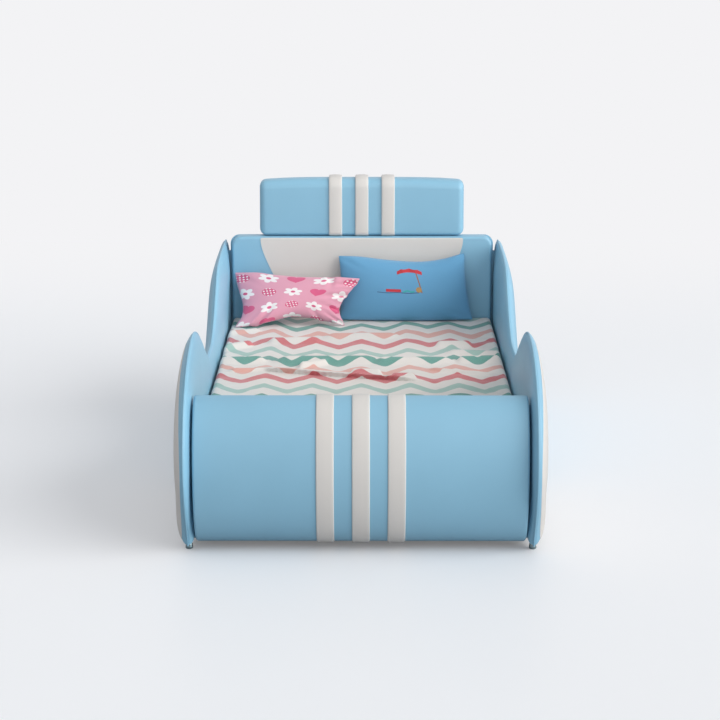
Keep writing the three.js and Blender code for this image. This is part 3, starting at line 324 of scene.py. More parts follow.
# A skin through rings of points. The first ring is a circle of vertices that the place function moves;
# the others are extruded from it. The ends are capped, or joined to each other.
def loft(columns, stations, place, firstCap=True, joined=False):
    mesh = bmesh.new()
    columnOf = mesh.verts.layers.int.new("column")
    ring = bmesh.ops.create_circle(mesh, segments=columns, radius=1)["verts"]
    for column, vert in enumerate(ring):
        vert[columnOf] = column
        vert.co = place(stations[0], column)
    firstEdges = mesh.edges[:]
    edges = firstEdges
    for station in stations[1:]:
        made = bmesh.ops.extrude_edge_only(mesh, edges=edges)["geom"]
        edges = [part for part in made if isinstance(part, bmesh.types.BMEdge) and part.is_boundary]
        for vert in {vert for edge in edges for vert in edge.verts}:
            vert.co = place(station, vert[columnOf])
    if joined:
        bmesh.ops.bridge_loops(mesh, edges=firstEdges + edges)
    else:
        if firstCap:
            bmesh.ops.edgeloop_fill(mesh, edges=firstEdges)
        bmesh.ops.edgeloop_fill(mesh, edges=edges)
    bmesh.ops.recalc_face_normals(mesh, faces=mesh.faces[:])
    return mesh


def evenly(points, spacing):  # a closed line as points at an even spacing
    lengths = [0]
    ring = points + [points[0]]
    for near, far in zip(ring, ring[1:]):
        lengths.append(lengths[-1] + (far - near).length)
    count = round(lengths[-1] / spacing)
    made = []
    index = 0
    for step in range(count):
        target = lengths[-1] * step / count
        while lengths[index + 1] < target:
            index += 1
        share = (target - lengths[index]) / max(lengths[index + 1] - lengths[index], 1e-9)
        made.append(ring[index].lerp(ring[index + 1], share))
    return made


def bend(*points):  # a Bezier stretch through (y, z) knots and handles, without its last point
    knot, handle, otherHandle, otherKnot = (Vector((0, y, z)) for y, z in points)
    return interpolate_bezier(knot, handle, otherHandle, otherKnot, 60)[:-1]


def roundedRect(low, high, radius, steps=8, highRadius=None):  # from the low edge, turning left
    points = []
    wide = highRadius or radius
    corners = [
        (high[0] - radius, low[1] + radius, radius, -90),
        (high[0] - wide, high[1] - wide, wide, 0),
        (low[0] + wide, high[1] - wide, wide, 90),
        (low[0] + radius, low[1] + radius, radius, 180),
    ]
    for a, b, reach, start in corners:
        for step in range(steps + 1):
            turn = math.radians(start + 90 * step / steps)
            points.append(Vector((a + reach * math.cos(turn), b + reach * math.sin(turn))))
    return points


def tube(name, points, radius, material, body):  # a cord along a closed line
    curve = bpy.data.curves.new(name, "CURVE")
    curve.dimensions = "3D"
    curve.bevel_depth = radius
    curve.bevel_resolution = 2
    line = curve.splines.new("POLY")
    line.points.add(len(points) - 1)
    for spot, point in zip(line.points, points):
        spot.co = (*point, 1)
    line.use_cyclic_u = True
    holder = placed(name + ".line", curve)
    bpy.context.view_layer.update()
    data = bpy.data.meshes.new_from_object(holder.evaluated_get(bpy.context.evaluated_depsgraph_get()))
    bpy.data.objects.remove(holder)
    data.name = name
    data.materials.clear()
    return addData(name, data, material, body)


def surfaceOf(piece):
    mesh = bmesh.new()
    mesh.from_mesh(piece.data)
    surface = BVHTree.FromBMesh(mesh)
    mesh.free()
    return surface


stitchLook = {"pitch": 0.0065, "length": 0.0045, "width": 0.0012, "lift": 0.0002}


def stitchRow(name, line):  # stitches along a line of (point, outward normal) pairs
    look = stitchLook
    mesh = bmesh.new()
    walked = 0
    for (start, normal), (end, _) in zip(line, line[1:]):
        step = end - start
        walked += step.length
        if walked < look["pitch"]:
            continue
        walked = 0
        middle = Matrix.Translation(start.lerp(end, 0.5) + normal * look["lift"])
        turn = step.to_track_quat("X", "Z").to_matrix().to_4x4()
        size = Matrix.Diagonal((look["length"] / 2, look["width"] / 2, look["width"] / 2, 1))
        bmesh.ops.create_icosphere(mesh, subdivisions=1, radius=1, matrix=middle @ turn @ size)
    addPiece(name, mesh, stitchThread, "bed", 80)


print("side panels")

sides = (("left", -1), ("right", 1))
sideLook = {
    "noseHeight": 0.345,
    "noseUndercut": 0.132,
    "humpSetback": 0.512,
    "humpHeight": 0.747,
    "dipSetback": 1.167,
    "dipLength": 0.130,
    "dipHeight": 0.508,
    "earRise": 0.510,
    "shoulderHeight": 0.764,
    "rearCorner": 0.045,
    "crownRun": 0.180,
    "innerRun": 0.045,
    "outerRun": 0.140,
    "bottomBlend": 0.250,
    "spineHeight": 0.275,
    "spacing": 0.012,
    "weltRadius": 0.004,
    "pinch": 0.0035,
    "pinchWidth": 0.007,
}
sideLow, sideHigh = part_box("side_inner_pad_right")
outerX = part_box("side_outer_pad_right")[1].x
seamX = sideHigh.x
innerX = sideLow.x
noseY, rearY = sideLow.y, sideHigh.y
sideFloor, earHeight = sideLow.z, sideHigh.z


def seamLine():
    look = sideLook
    undercut, setback, rise = look["noseUndercut"], look["humpSetback"], look["earRise"]
    noseZ, humpZ = look["noseHeight"], look["humpHeight"]
    dipZ, shoulderZ = look["dipHeight"], look["shoulderHeight"]
    heelY, humpY, dipY = noseY + undercut, noseY + setback, noseY + look["dipSetback"]
    riseY = dipY + look["dipLength"]
    shoulderY = riseY + rise
    radius = look["rearCorner"]
    cornerY = rearY - radius
    earRun = cornerY - shoulderY
    fall = dipY - humpY
    soft = radius * 0.45
    line = bend(
        (heelY, sideFloor), (heelY - undercut * 0.19, sideFloor + (noseZ - sideFloor) * 0.25),
        (noseY, sideFloor + (noseZ - sideFloor) * 0.57), (noseY, noseZ),
    )
    line += bend(
        (noseY, noseZ), (noseY, noseZ + (humpZ - noseZ) * 0.52),
        (noseY + setback * 0.35, humpZ), (humpY, humpZ),
    )
    line += bend(
        (humpY, humpZ), (humpY + fall * 0.34, humpZ),
        (dipY - fall * 0.17, dipZ + (humpZ - dipZ) * 0.03), (dipY, dipZ),
    )
    line += bend(
        (riseY, dipZ), (riseY + rise * 0.47, dipZ),
        (shoulderY - rise * 0.235, shoulderZ - (shoulderZ - dipZ) * 0.094), (shoulderY, shoulderZ),
    )
    line += bend(
        (shoulderY, shoulderZ), (shoulderY + earRun * 0.16, shoulderZ + (earHeight - shoulderZ) * 0.65),
        (shoulderY + earRun * 0.45, earHeight), (cornerY, earHeight),
    )
    line += bend(
        (cornerY, earHeight), (rearY - soft, earHeight),
        (rearY, earHeight - soft), (rearY, earHeight - radius),
    )
    line += bend(
        (rearY, sideFloor + radius), (rearY, sideFloor + soft),
        (rearY - soft, sideFloor), (cornerY, sideFloor),
    )
    line.append(Vector((0, cornerY, sideFloor)))
    return evenly(line, look["spacing"])


seam = seamLine()


def spineOf(point):
    reach = sideLook["crownRun"] * 1.3
    return Vector((0, min(max(point.y, noseY + reach), rearY - reach), sideLook["spineHeight"]))


def smooth(share):
    share = min(max(share, 0), 1)
    return share * share * (3 - 2 * share)


def crownRun(point, faceX):  # the crown reaches less far in along the bottom
    look = sideLook
    share = smooth((point.z - sideFloor) / look["bottomBlend"])
    bottomRun = look["innerRun"] if faceX < seamX else look["outerRun"]
    return bottomRun + (look["crownRun"] - bottomRun) * share


# Stations of a crowned face as (share of the crown's turn, share of the way on to the spine).
crownTurns = [0, 0.02, 0.045, 0.075, 0.11, 0.15] + [0.2 + 0.8 * step / 13 for step in range(14)]
crownStations = [(turn, 0) for turn in crownTurns] + [(1, share) for share in (0.2, 0.45, 0.7, 0.88)]


def crownedPlace(side, faceX):
    look = sideLook

    def place(station, column):
        turn = station[0] * math.pi / 2
        start = seam[column]
        spine = spineOf(start)
        reach = (spine - start).length
        lift = (faceX - seamX) * math.sin(turn)
        walked = crownRun(start, faceX) * (1 - math.cos(turn))
        walked += (reach - walked) * station[1]
        walked += look["pinch"] * (1 - smooth(abs(lift) / look["pinchWidth"]))
        spot = start.lerp(spine, walked / reach)
        return Vector((side * (seamX + lift), spot.y, spot.z))

    return place


def sidePad(name, side, faceX, node):
    mesh = loft(len(seam), crownStations, crownedPlace(side, faceX))
    pad = addPiece(name, mesh, leatherBlue, "bed", 50)
    standsFor(pad, node)
    return pad


whiteLook = {
    "border": 0.008,
    "topBorder": 0.026,
    "lowBorder": 0.005,
    "tailSetback": 1.130,
    "tailHeight": 0.300,
    "spineFront": 0.26,
    "spineBack": 0.24,
    "spineHeight": 0.36,
    "spacing": 0.012,
    "edge": 0.016,
    "lift": 0.0012,
    "thickness": 0.006,
    "weltRadius": 0.0017,
}
# The rings of a let-in panel, as shares of the way from its edge to its spine.
panelShares = [
    0, 0.002, 0.006, 0.012, 0.025, 0.045, 0.07, 0.1, 0.14, 0.18, 0.23, 0.29, 0.36, 0.44, 0.54, 0.66, 0.8,
    0.92,
]


def whiteLine():
    look = whiteLook
    undercut, setback = sideLook["noseUndercut"], sideLook["humpSetback"]
    noseZ, humpZ, tailZ = sideLook["noseHeight"], sideLook["humpHeight"], look["tailHeight"]
    heelY, humpY, tailY = noseY + undercut, noseY + setback, noseY + look["tailSetback"]
    frontY = noseY + look["border"]
    low = sideFloor + look["lowBorder"]
    top = humpZ - look["topBorder"]
    run = tailY - humpY
    line = bend(
        (heelY + look["border"] * 2, low),
        (heelY - undercut * 0.25 + look["border"], sideFloor + (noseZ - sideFloor) * 0.34),
        (frontY, sideFloor + (noseZ - sideFloor) * 0.62), (frontY, noseZ),
    )
    line += bend(
        (frontY, noseZ), (frontY, noseZ + (humpZ - noseZ) * 0.48),
        (frontY + setback * 0.37, top), (humpY, top),
    )
    line += bend(
        (humpY, top), (humpY + run * 0.35, top), (tailY, tailZ + (top - tailZ) * 0.45), (tailY, tailZ),
    )
    line += bend((tailY, tailZ), (tailY, low + (tailZ - low) * 0.35), (tailY - run * 0.4, low), (humpY, low))
    return evenly(line, look["spacing"])


whiteEdge = whiteLine()


# The white panel is a cushion of its own: it starts on the blue cover and swells to its own crown.
def whitePlace(side, cover, crown):
    look = whiteLook
    firstY, lastY = noseY + look["spineFront"], noseY + look["tailSetback"] - look["spineBack"]
    out = Vector((side, 0, 0))

    def place(share, column):
        start = whiteEdge[column]
        spine = Vector((0, min(max(start.y, firstY), lastY), look["spineHeight"]))
        spot = start.lerp(spine, share)
        far = Vector((side * (outerX + 0.1), spot.y, spot.z))
        low = cover.ray_cast(far, -out)[0]
        high = crown.ray_cast(far, -out)[0]
        walked = (spot - start).length / look["edge"]
        swell = math.sqrt(max(1 - (1 - min(walked, 1)) ** 2, 0))
        return low.lerp(high, swell) + out * (look["lift"] * (swell * 1.5 - 0.5))

    return place


def whitePanel(name, place, node):
    mesh = loft(len(whiteEdge), panelShares, place, firstCap=False)
    panel = thickened(addPiece(name, mesh, leatherWhite, "bed", 60), whiteLook["thickness"])
    standsFor(panel, node)


# The inner pads leave the boards bare where the rails and corner brackets are bolted on.
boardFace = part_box("side_board_right")[0].x
bareLook = {"before": 0.02, "past": 0.0008, "margin": 0.004, "railGap": 0.0004}


def bareSpans():
    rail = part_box("side_rail_right")
    margin = bareLook["margin"]
    spans = [(rail[0].y, rail[1].y, rail[0].z - margin, rail[1].z + bareLook["railGap"])]
    for end, away in (("foot", margin), ("head", -margin)):
        low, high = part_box(f"bracket_{end}_right")
        spans.append((low.y + min(away, 0), high.y + max(away, 0), low.z - margin, high.z + margin))
    return spans


def laidBare(pad, side):
    across = [side * x for x in (innerX - bareLook["before"], boardFace + bareLook["past"])]
    for front, back, low, high in bareSpans():
        cutter = placed("cutter", dataOf("cutter", blockMesh(across, (front, back), (low, high))))
        opening = pad.modifiers.new("opening", "BOOLEAN")
        opening.operation = "DIFFERENCE"
        opening.solver = "EXACT"
        opening.object = cutter
        settled(pad)
        bpy.data.objects.remove(cutter)


for sideName, side in sides:
    innerPad = sidePad(f"sideInner.{sideName}", side, innerX, f"side_inner_pad_{sideName}")
    laidBare(innerPad, side)
    outerPad = sidePad(f"sideOuter.{sideName}", side, outerX, f"side_outer_pad_{sideName}")
    crownMesh = loft(len(seam), crownStations, crownedPlace(side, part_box("side_white_panel_right")[1].x))
    edgeOf = whitePlace(side, surfaceOf(outerPad), BVHTree.FromBMesh(crownMesh))
    crownMesh.free()
    whitePanel(f"sideWhite.{sideName}", edgeOf, f"side_white_panel_{sideName}")
    ridge = [Vector((side * seamX, spot.y, spot.z)) for spot in seam]
    tube(f"sideWelt.{sideName}", ridge, sideLook["weltRadius"], leatherBlue, "bed")
    edge = [edgeOf(0, column) for column in range(len(whiteEdge))]
    tube(f"whiteWelt.{sideName}", edge, whiteLook["weltRadius"], leatherBlue, "bed")


print("footboard")

footLook = {
    "endRadius": 0.010,
    "arcSteps": 90,
    "stripWidth": 0.066,
    "stripRise": 0.0065,
    "stripRound": 0.004,
    "stitchInset": 0.007,
    "stitchLevel": 0.88,
    "stitchSteps": 360,
}
footLow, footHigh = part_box("footboard_pad")
footBackY = footHigh.y
footMiddle = (footLow.z + footHigh.z) / 2


def barrelPoint(turn, offset):  # turn runs from 0 at the top to pi at the bottom
    deep = footBackY - footLow.y + offset
    tall = (footHigh.z - footLow.z) / 2 + offset
    return footBackY - deep * math.sin(turn), footMiddle + tall * math.cos(turn)


footTurns = [math.pi * step / footLook["arcSteps"] for step in range(footLook["arcSteps"] + 1)]
endTurns = [math.pi / 2 * step / 8 for step in range(9)]


def roundedEnds(half, radius, inner=()):  # stations (x, offset) from the left end to the right end
    right = [*inner]
    right += [(half - radius * (1 - math.sin(turn)), -radius * (1 - math.cos(turn))) for turn in endTurns]
    return [(-x, offset) for x, offset in reversed(right)] + right


def footPlace(station, column):
    x, offset = station
    return Vector((x, *barrelPoint(footTurns[column], offset)))


footMesh = loft(len(footTurns), roundedEnds(footHigh.x, footLook["endRadius"]), footPlace)
standsFor(addPiece("footboardPad", footMesh, leatherBlue, "bed", 45), "footboard_pad")


# Section of a padded strip: (place across, height over the pad), round at its edges, crowned between them.
def stripSection(width, rise, rounding):
    half = width / 2
    section = [(-half, -0.001)]
    for step in range(7):
        turn = math.pi / 2 * step / 6
        section.append((-half + rounding * (1 - math.cos(turn)), rise * 0.85 * math.sin(turn)))
    for step in range(1, 6):
        across = -half + rounding + (width - 2 * rounding) * step / 6
        section.append((across, rise * (0.85 + 0.15 * math.sin(math.pi * step / 6))))
    section += [(-across, height) for across, height in reversed(section[:8])]
    return section


footSection = stripSection(footLook["stripWidth"], footLook["stripRise"], footLook["stripRound"])
stitchHeight = footLook["stripRise"] * footLook["stitchLevel"]
for stripName in ("left", "middle", "right"):
    stripNode = f"footboard_strip_{stripName}"
    stripLow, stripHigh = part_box(stripNode)
    stripX = (stripLow.x + stripHigh.x) / 2

    def stripPlace(turn, column, centre=stripX):
        across, height = footSection[column]
        return Vector((centre + across, *barrelPoint(turn, height)))

    mesh = loft(len(footSection), footTurns, stripPlace)
    strip = addPiece(f"footboardStrip.{stripName}", mesh, leatherWhite, "bed", 50)
    standsFor(strip, stripNode)
    for edgeName, edgeSide in sides:
        row = []
        edgeX = stripX + edgeSide * (footLook["stripWidth"] / 2 - footLook["stitchInset"])
        for step in range(footLook["stitchSteps"]):
            turn = math.pi * (0.03 + 0.94 * step / (footLook["stitchSteps"] - 1))
            spot = Vector((edgeX, *barrelPoint(turn, stitchHeight)))
            row.append((spot, Vector((0, -math.sin(turn), math.cos(turn)))))
        stitchRow(f"footboardStitch.{stripName}.{edgeName}", row)

liningLow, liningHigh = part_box("footboard_lining")
liningRing = roundedRect((liningLow.x, liningLow.z), (liningHigh.x, liningHigh.z), 0.011, 5)
liningStations = [(liningLow.y, 0)]
liningEdge = ((0.002, 0), (0.0006, 0.0006), (0, 0.002))
liningStations += [(liningHigh.y - depth, inset) for depth, inset in liningEdge]


def liningPlace(station, column):
    y, inset = station
    spot = liningRing[column]
    up = spot.y - math.copysign(inset, spot.y - (liningLow.z + liningHigh.z) / 2)
    return Vector((spot.x - math.copysign(inset, spot.x), y, up))


liningMesh = loft(len(liningRing), liningStations, liningPlace)
standsFor(addPiece("footboardLining", liningMesh, liningCloth, "bed"), "footboard_lining")


print("headboard")

headLook = {
    "corner": 0.040,
    "edge": 0.012,
    "backEdge": 0.022,
    "backFall": 0.040,
    "edgeSteps": 8,
    "topWidth": 0.952,
    "waistWidth": 0.600,
    "topMargin": 0.004,
    "lowMargin": 0.018,
    "spineHalf": 0.20,
    "spineHeight": 0.55,
    "edgeShare": 0.012,
    "lift": 0.0012,
    "thickness": 0.0012,
    "weltRadius": 0.0016,
}


def slabPlace(low, high, corner, fall):
    def place(station, column):
        y, inset = station
        drop = fall * (1 - math.sqrt(1 - ((y - low.y) / (high.y - low.y)) ** 2)) if fall else 0
        corners = (low.x + inset, low.z + inset), (high.x - inset, high.z - inset - drop)
        spot = roundedRect(*corners, max(corner - inset * 0.5, 0.004))[column]
        return Vector((spot.x, y, spot.y))

    return place


def slabStations(seamAt, faceAt, edge, steps):
    direction = math.copysign(1, faceAt - seamAt)
    flat = faceAt - direction * edge * 1.3
    stations = [(seamAt + (flat - seamAt) * step / 6, 0) for step in range(7)]
    for step in range(steps + 1):
        turn = math.pi / 2 * step / steps
        stations.append((faceAt - direction * edge * (1 - math.sin(turn)), edge * (1 - math.cos(turn))))
    return stations


slabColumns = len(roundedRect((-1, -1), (1, 1), 0.1))


def headSlab(name, node, seamAt, faceAt, edge, fall=0):
    stations = slabStations(seamAt, faceAt, edge, headLook["edgeSteps"])
    mesh = loft(slabColumns, stations, slabPlace(*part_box(node), headLook["corner"], fall))
    slab = addPiece(name, mesh, leatherBlue, "bed")
    standsFor(slab, node)
    return slab


frontLow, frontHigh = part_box("headboard_pad")
backLow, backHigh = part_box("headboard_back_body")
headPad = headSlab("headboardPad", "headboard_pad", frontHigh.y, frontLow.y, headLook["edge"])
backShape = (backLow.y, backHigh.y, headLook["backEdge"], headLook["backFall"])
headSlab("headboardBack", "headboard_back_body", *backShape)


def insetLine():
    look = headLook
    top = frontHigh.z - look["topMargin"]
    low = frontLow.z + look["lowMargin"]
    wide, narrow = look["topWidth"] / 2, look["waistWidth"] / 2
    tall = top - low
    right = bend(
        (narrow, low), (narrow + (wide - narrow) * 0.17, low + tall * 0.53),
        (wide + (wide - narrow) * 0.05, top - tall * 0.18), (wide, top),
    )
    right.append(Vector((0, wide, top)))
    left = [Vector((0, -spot.y, spot.z)) for spot in reversed(right)]
    return evenly(right + left, 0.010)


insetEdge = insetLine()
headSurface = surfaceOf(headPad)


def insetPlace(share, column):
    look = headLook
    start = insetEdge[column]
    spine = Vector((0, max(min(start.y, look["spineHalf"]), -look["spineHalf"]), look["spineHeight"]))
    spot = start.lerp(spine, share)
    hit, normal, _, _ = headSurface.ray_cast(Vector((spot.y, frontLow.y - 0.1, spot.z)), Vector((0, 1, 0)))
    rounded = math.sqrt(min(share / look["edgeShare"], 1))
    return hit + normal * (look["lift"] * (rounded * 1.5 - 0.5))


# A flap of the cover closes the slot between each side panel and the end boards.
flapLook = {"thickness": 0.002, "in": 0.612, "out": 0.634}
flapSpans = {"head": (1.090, 0.034, 0.752), "foot": (-1.015, 0.046, 0.560)}
for flapName, (y, low, high) in flapSpans.items():
    for sideName, side in sides:
        across = (side * flapLook["in"], side * flapLook["out"])
        mesh = blockMesh(across, (y, y + flapLook["thickness"]), (low, high))
        addPiece(f"{flapName}Flap.{sideName}", mesh, leatherBlue, "bed")

insetMesh = loft(len(insetEdge), panelShares, insetPlace, firstCap=False)
insetPiece = addPiece("headboardInset", insetMesh, leatherWhite, "bed", 60)
standsFor(thickened(insetPiece, headLook["thickness"]), "headboard_inset")
insetWelt = [insetPlace(panelShares[1], column) for column in range(len(insetEdge))]
tube("headboardWelt", insetWelt, headLook["weltRadius"], leatherBlue, "bed")


print("bolster")

bolsterLook = {
    "sectionRadius": 0.042,
    "lowRadius": 0.018,
    "endRadius": 0.030,
    "endBulge": 0.003,
    "endTaper": 0.005,
    "droop": 0.012,
    "cornerSteps": 9,
    "stripRise": 0.012,
    "stripUnder": 0.002,
    "stripRound": 0.005,
}
bolsterLow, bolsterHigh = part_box("bolster_pad")
bolsterHalf = bolsterHigh.x
bolsterTop = bolsterHigh.z


def bolsterRing(x, offset, under):
    look = bolsterLook
    droop = look["droop"] * min(abs(x) / bolsterHalf, 1) ** 4
    low = (bolsterLow.y - offset, bolsterLow.z - under)
    high = (bolsterHigh.y + offset, bolsterTop + offset - droop)
    lowRadius = look["lowRadius"] * (1 + offset / look["sectionRadius"])
    return roundedRect(low, high, lowRadius, look["cornerSteps"], look["sectionRadius"] + offset)


def bolsterPlace(station, column):
    x, offset = station
    spot = bolsterRing(x, offset, offset)[column]
    level = (spot.y - bolsterLow.z) / (bolsterTop - bolsterLow.z) * 2 - 1
    near = smooth(abs(x) / bolsterHalf * 4 - 3)
    bulge = bolsterLook["endBulge"] * (1 - level ** 2) - bolsterLook["endTaper"] * max(level, 0) ** 2
    return Vector((x + math.copysign(bulge * near, x), spot.x, spot.y))


bolsterInner = [(bolsterHalf * share, 0) for share in (0.3, 0.5, 0.65, 0.78, 0.88)]
bolsterStations = roundedEnds(bolsterHalf, bolsterLook["endRadius"], bolsterInner)
bolsterColumns = len(bolsterRing(0, 0, 0))
bolsterPad = addPiece("bolsterPad", loft(bolsterColumns, bolsterStations, bolsterPlace), leatherBlue, "bed")
standsFor(bolsterPad, "bolster_pad")

for stripName in ("left", "middle", "right"):
    stripNode = f"bolster_strip_{stripName}"
    stripLow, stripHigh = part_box(stripNode)
    stripX = (stripLow.x + stripHigh.x) / 2
    headSection = stripSection(stripHigh.x - stripLow.x, bolsterLook["stripRise"], bolsterLook["stripRound"])

    def bandPlace(station, column, centre=stripX):
        across, height = station
        spot = bolsterRing(0, height, min(height, bolsterLook["stripUnder"]))[column]
        return Vector((centre + across, spot.x, spot.y))

    mesh = loft(bolsterColumns, headSection, bandPlace, joined=True)
    band = addPiece(f"bolsterStrip.{stripName}", mesh, leatherWhite, "bed", 50)
    standsFor(band, stripNode)


print("mattress")

mattressLook = {
    "corner": 0.045,
    "edge": 0.022,
    "drawIn": 0.004,
    "weltRadius": 0.004,
    "weltInset": 0.014,
    "thread": 0.0016,
    "stripe": 0.036,
}
mattressLow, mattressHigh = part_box("mattress")


def ticking(name):
    finish, across, _, weave, slub = cotton(name, mattressLook["thread"], "Object")
    stripe = ((across * (2 * math.pi / mattressLook["stripe"])).sine() + 1) * 0.5
    plain = finish.mix(weave * 0.3 + slub * 0.2, tone(226, 223, 214), tone(242, 240, 234))
    finish.paint(Base_Color=finish.mix((stripe > 0.97) * 0.35, plain, tone(168, 190, 205)))
    return finish.bump((weave, 0.0002), (slub, 0.0003)).material


mattressTicking = ticking("mattressTicking")


def mattressInset(z):
    edge = mattressLook["edge"]
    near = min(z - mattressLow.z, mattressHigh.z - z)
    roundIn = edge - math.sqrt(max(edge ** 2 - max(edge - near, 0) ** 2, 0))
    middle = (z - mattressLow.z) / (mattressHigh.z - mattressLow.z)
    return roundIn + mattressLook["drawIn"] * math.sin(math.pi * middle) ** 2


def mattressPlace(z, column):
    inset = mattressInset(z)
    low = (mattressLow.x + inset, mattressLow.y + inset)
    high = (mattressHigh.x - inset, mattressHigh.y - inset)
    spot = roundedRect(low, high, mattressLook["corner"])[column]
    return Vector((spot.x, spot.y, z))


edgeHeights = [mattressLook["edge"] * (1 - math.cos(turn)) for turn in endTurns]
mattressTall = mattressHigh.z - mattressLow.z
mattressStations = [mattressLow.z + height for height in edgeHeights]
mattressStations += [mattressLow.z + share * mattressTall for share in (0.25, 0.4, 0.5, 0.6, 0.75)]
mattressStations += [mattressHigh.z - height for height in reversed(edgeHeights)]
mattressMesh = loft(slabColumns, mattressStations, mattressPlace)
mattressPiece = addPiece("mattressBody", mattressMesh, mattressTicking, "mattress_set")
standsFor(mattressPiece, "mattress")
weltInset = mattressLook["weltInset"]
for weltName, z in (("low", mattressLow.z + weltInset), ("high", mattressHigh.z - weltInset)):
    line = evenly([mattressPlace(z, column) for column in range(slabColumns)], 0.03)
    tube(f"mattressWelt.{weltName}", line, mattressLook["weltRadius"], mattressTicking, "mattress_set")


print("quilt")

quiltLook = {
    "width": 1.372,
    "thickness": 0.011,
    "spacing": 0.0078,
    "evenOut": 5,
    "rollRadius": 0.022,
    "headRise": 0.010,
    "period": 0.2005,
    "swing": 0.060,
    "pitch": 0.1660,
    "firstRow": 0.050,
    "ground": tone(222, 216, 210),
    "rows": [tone(150, 184, 174), tone(196, 88, 94), tone(214, 156, 144), tone(68, 142, 130)],
    "halfWidths": [0.20, 0.225, 0.21, 0.215],
}
# Folds in the bed's frame: the crest's middle (x, y), its half-length, its rise, the lengths of the front
# slope and of the back slope, how much the crest runs askew, and how far it leans to the head.
foldKeys = ("x", "y", "reach", "rise", "front", "back", "skew", "lean")
foldValues = [
    (-0.147, 0.197, 0.25, 0.021, 0.075, 0.020, 0.00, 0.9),
    (0.225, 0.185, 0.19, 0.020, 0.070, 0.020, 0.05, 0.9),
    (0.510, 0.205, 0.11, 0.021, 0.060, 0.020, 0.00, 0.8),
    (-0.530, 0.195, 0.13, 0.018, 0.060, 0.020, 0.10, 0.8),
    (-0.100, -0.055, 0.37, 0.022, 0.016, 0.085, -0.30, -1.3),
    (-0.205, 0.128, 0.070, 0.022, 0.045, 0.045, 0.50, 0.2),
    (0.020, -0.045, 0.075, 0.030, 0.060, 0.040, 0.00, 0.0),
    (0.175, -0.105, 0.060, 0.024, 0.045, 0.040, 0.00, 0.0),
    (0.005, 0.640, 0.19, 0.015, 0.070, 0.018, 0.00, 0.8),
    (-0.300, 0.545, 0.13, 0.018, 0.060, 0.018, 0.06, 0.9),
    (-0.545, 0.700, 0.09, 0.016, 0.045, 0.020, 0.50, 0.4),
    (-0.555, 0.440, 0.08, 0.020, 0.050, 0.020, 0.60, 0.5),
    (0.411, 0.480, 0.09, 0.018, 0.055, 0.020, 0.00, 0.9),
    (0.500, 0.330, 0.14, 0.014, 0.060, 0.025, -0.20, 0.6),
    (-0.450, 0.040, 0.12, 0.013, 0.030, 0.040, 0.10, -0.6),
    (0.420, 0.000, 0.15, 0.013, 0.030, 0.050, -0.35, -0.8),
    (0.10, -0.420, 0.42, 0.009, 0.080, 0.080, 0.06, 0.2),
    (-0.20, -0.700, 0.35, 0.009, 0.080, 0.080, -0.05, 0.2),
]
quiltFolds = [dict(zip(foldKeys, values)) for values in foldValues]
quiltLow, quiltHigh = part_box("quilt")
quiltFloor = mattressHigh.z + 0.0004 + quiltLook["thickness"]


def foldShift(x, y):  # where folds meet, they run into each other instead of crossing
    height, lean, weight = 0, 0, 0
    for fold in quiltFolds:
        along = 1 - ((x - fold["x"]) / fold["reach"]) ** 2
        across = y - fold["y"] - (x - fold["x"]) * fold["skew"]
        if along <= 0 or not -fold["front"] < across < fold["back"]:
            continue
        share = 1 - abs(across) / (fold["front"] if across < 0 else fold["back"])
        rise = fold["rise"] * smooth(min(along * 1.7, 1)) * smooth(share)
        height += rise ** 4
        lean += fold["lean"] * rise ** 4
        weight += rise ** 3
    return height ** 0.25, lean / weight if weight else 0


def wrinkle(x, y):
    broad = noise.noise(Vector((x * 2.2, y * 9, 3.1))) * 0.0040
    fine = noise.noise(Vector((x * 6, y * 21, 8.7))) * 0.0018
    edge = max(abs(x) - 0.40, 0) / 0.20 * smooth((0.74 - y) / 0.10)
    crimp = noise.noise(Vector((x * 7, y * 19, 1.3))) * 0.0095 * edge
    rise = quiltLook["headRise"] * smooth((y - 0.2) / 0.6)
    return max(broad + fine, -0.0018) + max(crimp, -0.002) + 0.0038 + rise


def drape(across, y):  # across is measured over the cloth from the bed's middle
    side = math.copysign(1, across)
    radius = quiltLook["rollRadius"]
    flatHalf = quiltHigh.x - radius - 0.001
    walked = abs(across)
    height, lean = foldShift(across, y)
    lift = height + wrinkle(across, y)
    arc = radius * math.pi / 2
    if walked <= flatHalf:
        return Vector((across, y + lean, quiltFloor + lift))
    turn = min((walked - flatHalf) / arc, 1) * math.pi / 2
    down = max(walked - flatHalf - arc, 0)
    ease = math.cos(turn)
    x = flatHalf + radius * math.sin(turn)
    z = quiltFloor - radius * (1 - math.cos(turn)) - down
    return Vector((side * x, y + lean * ease, z + lift * ease))


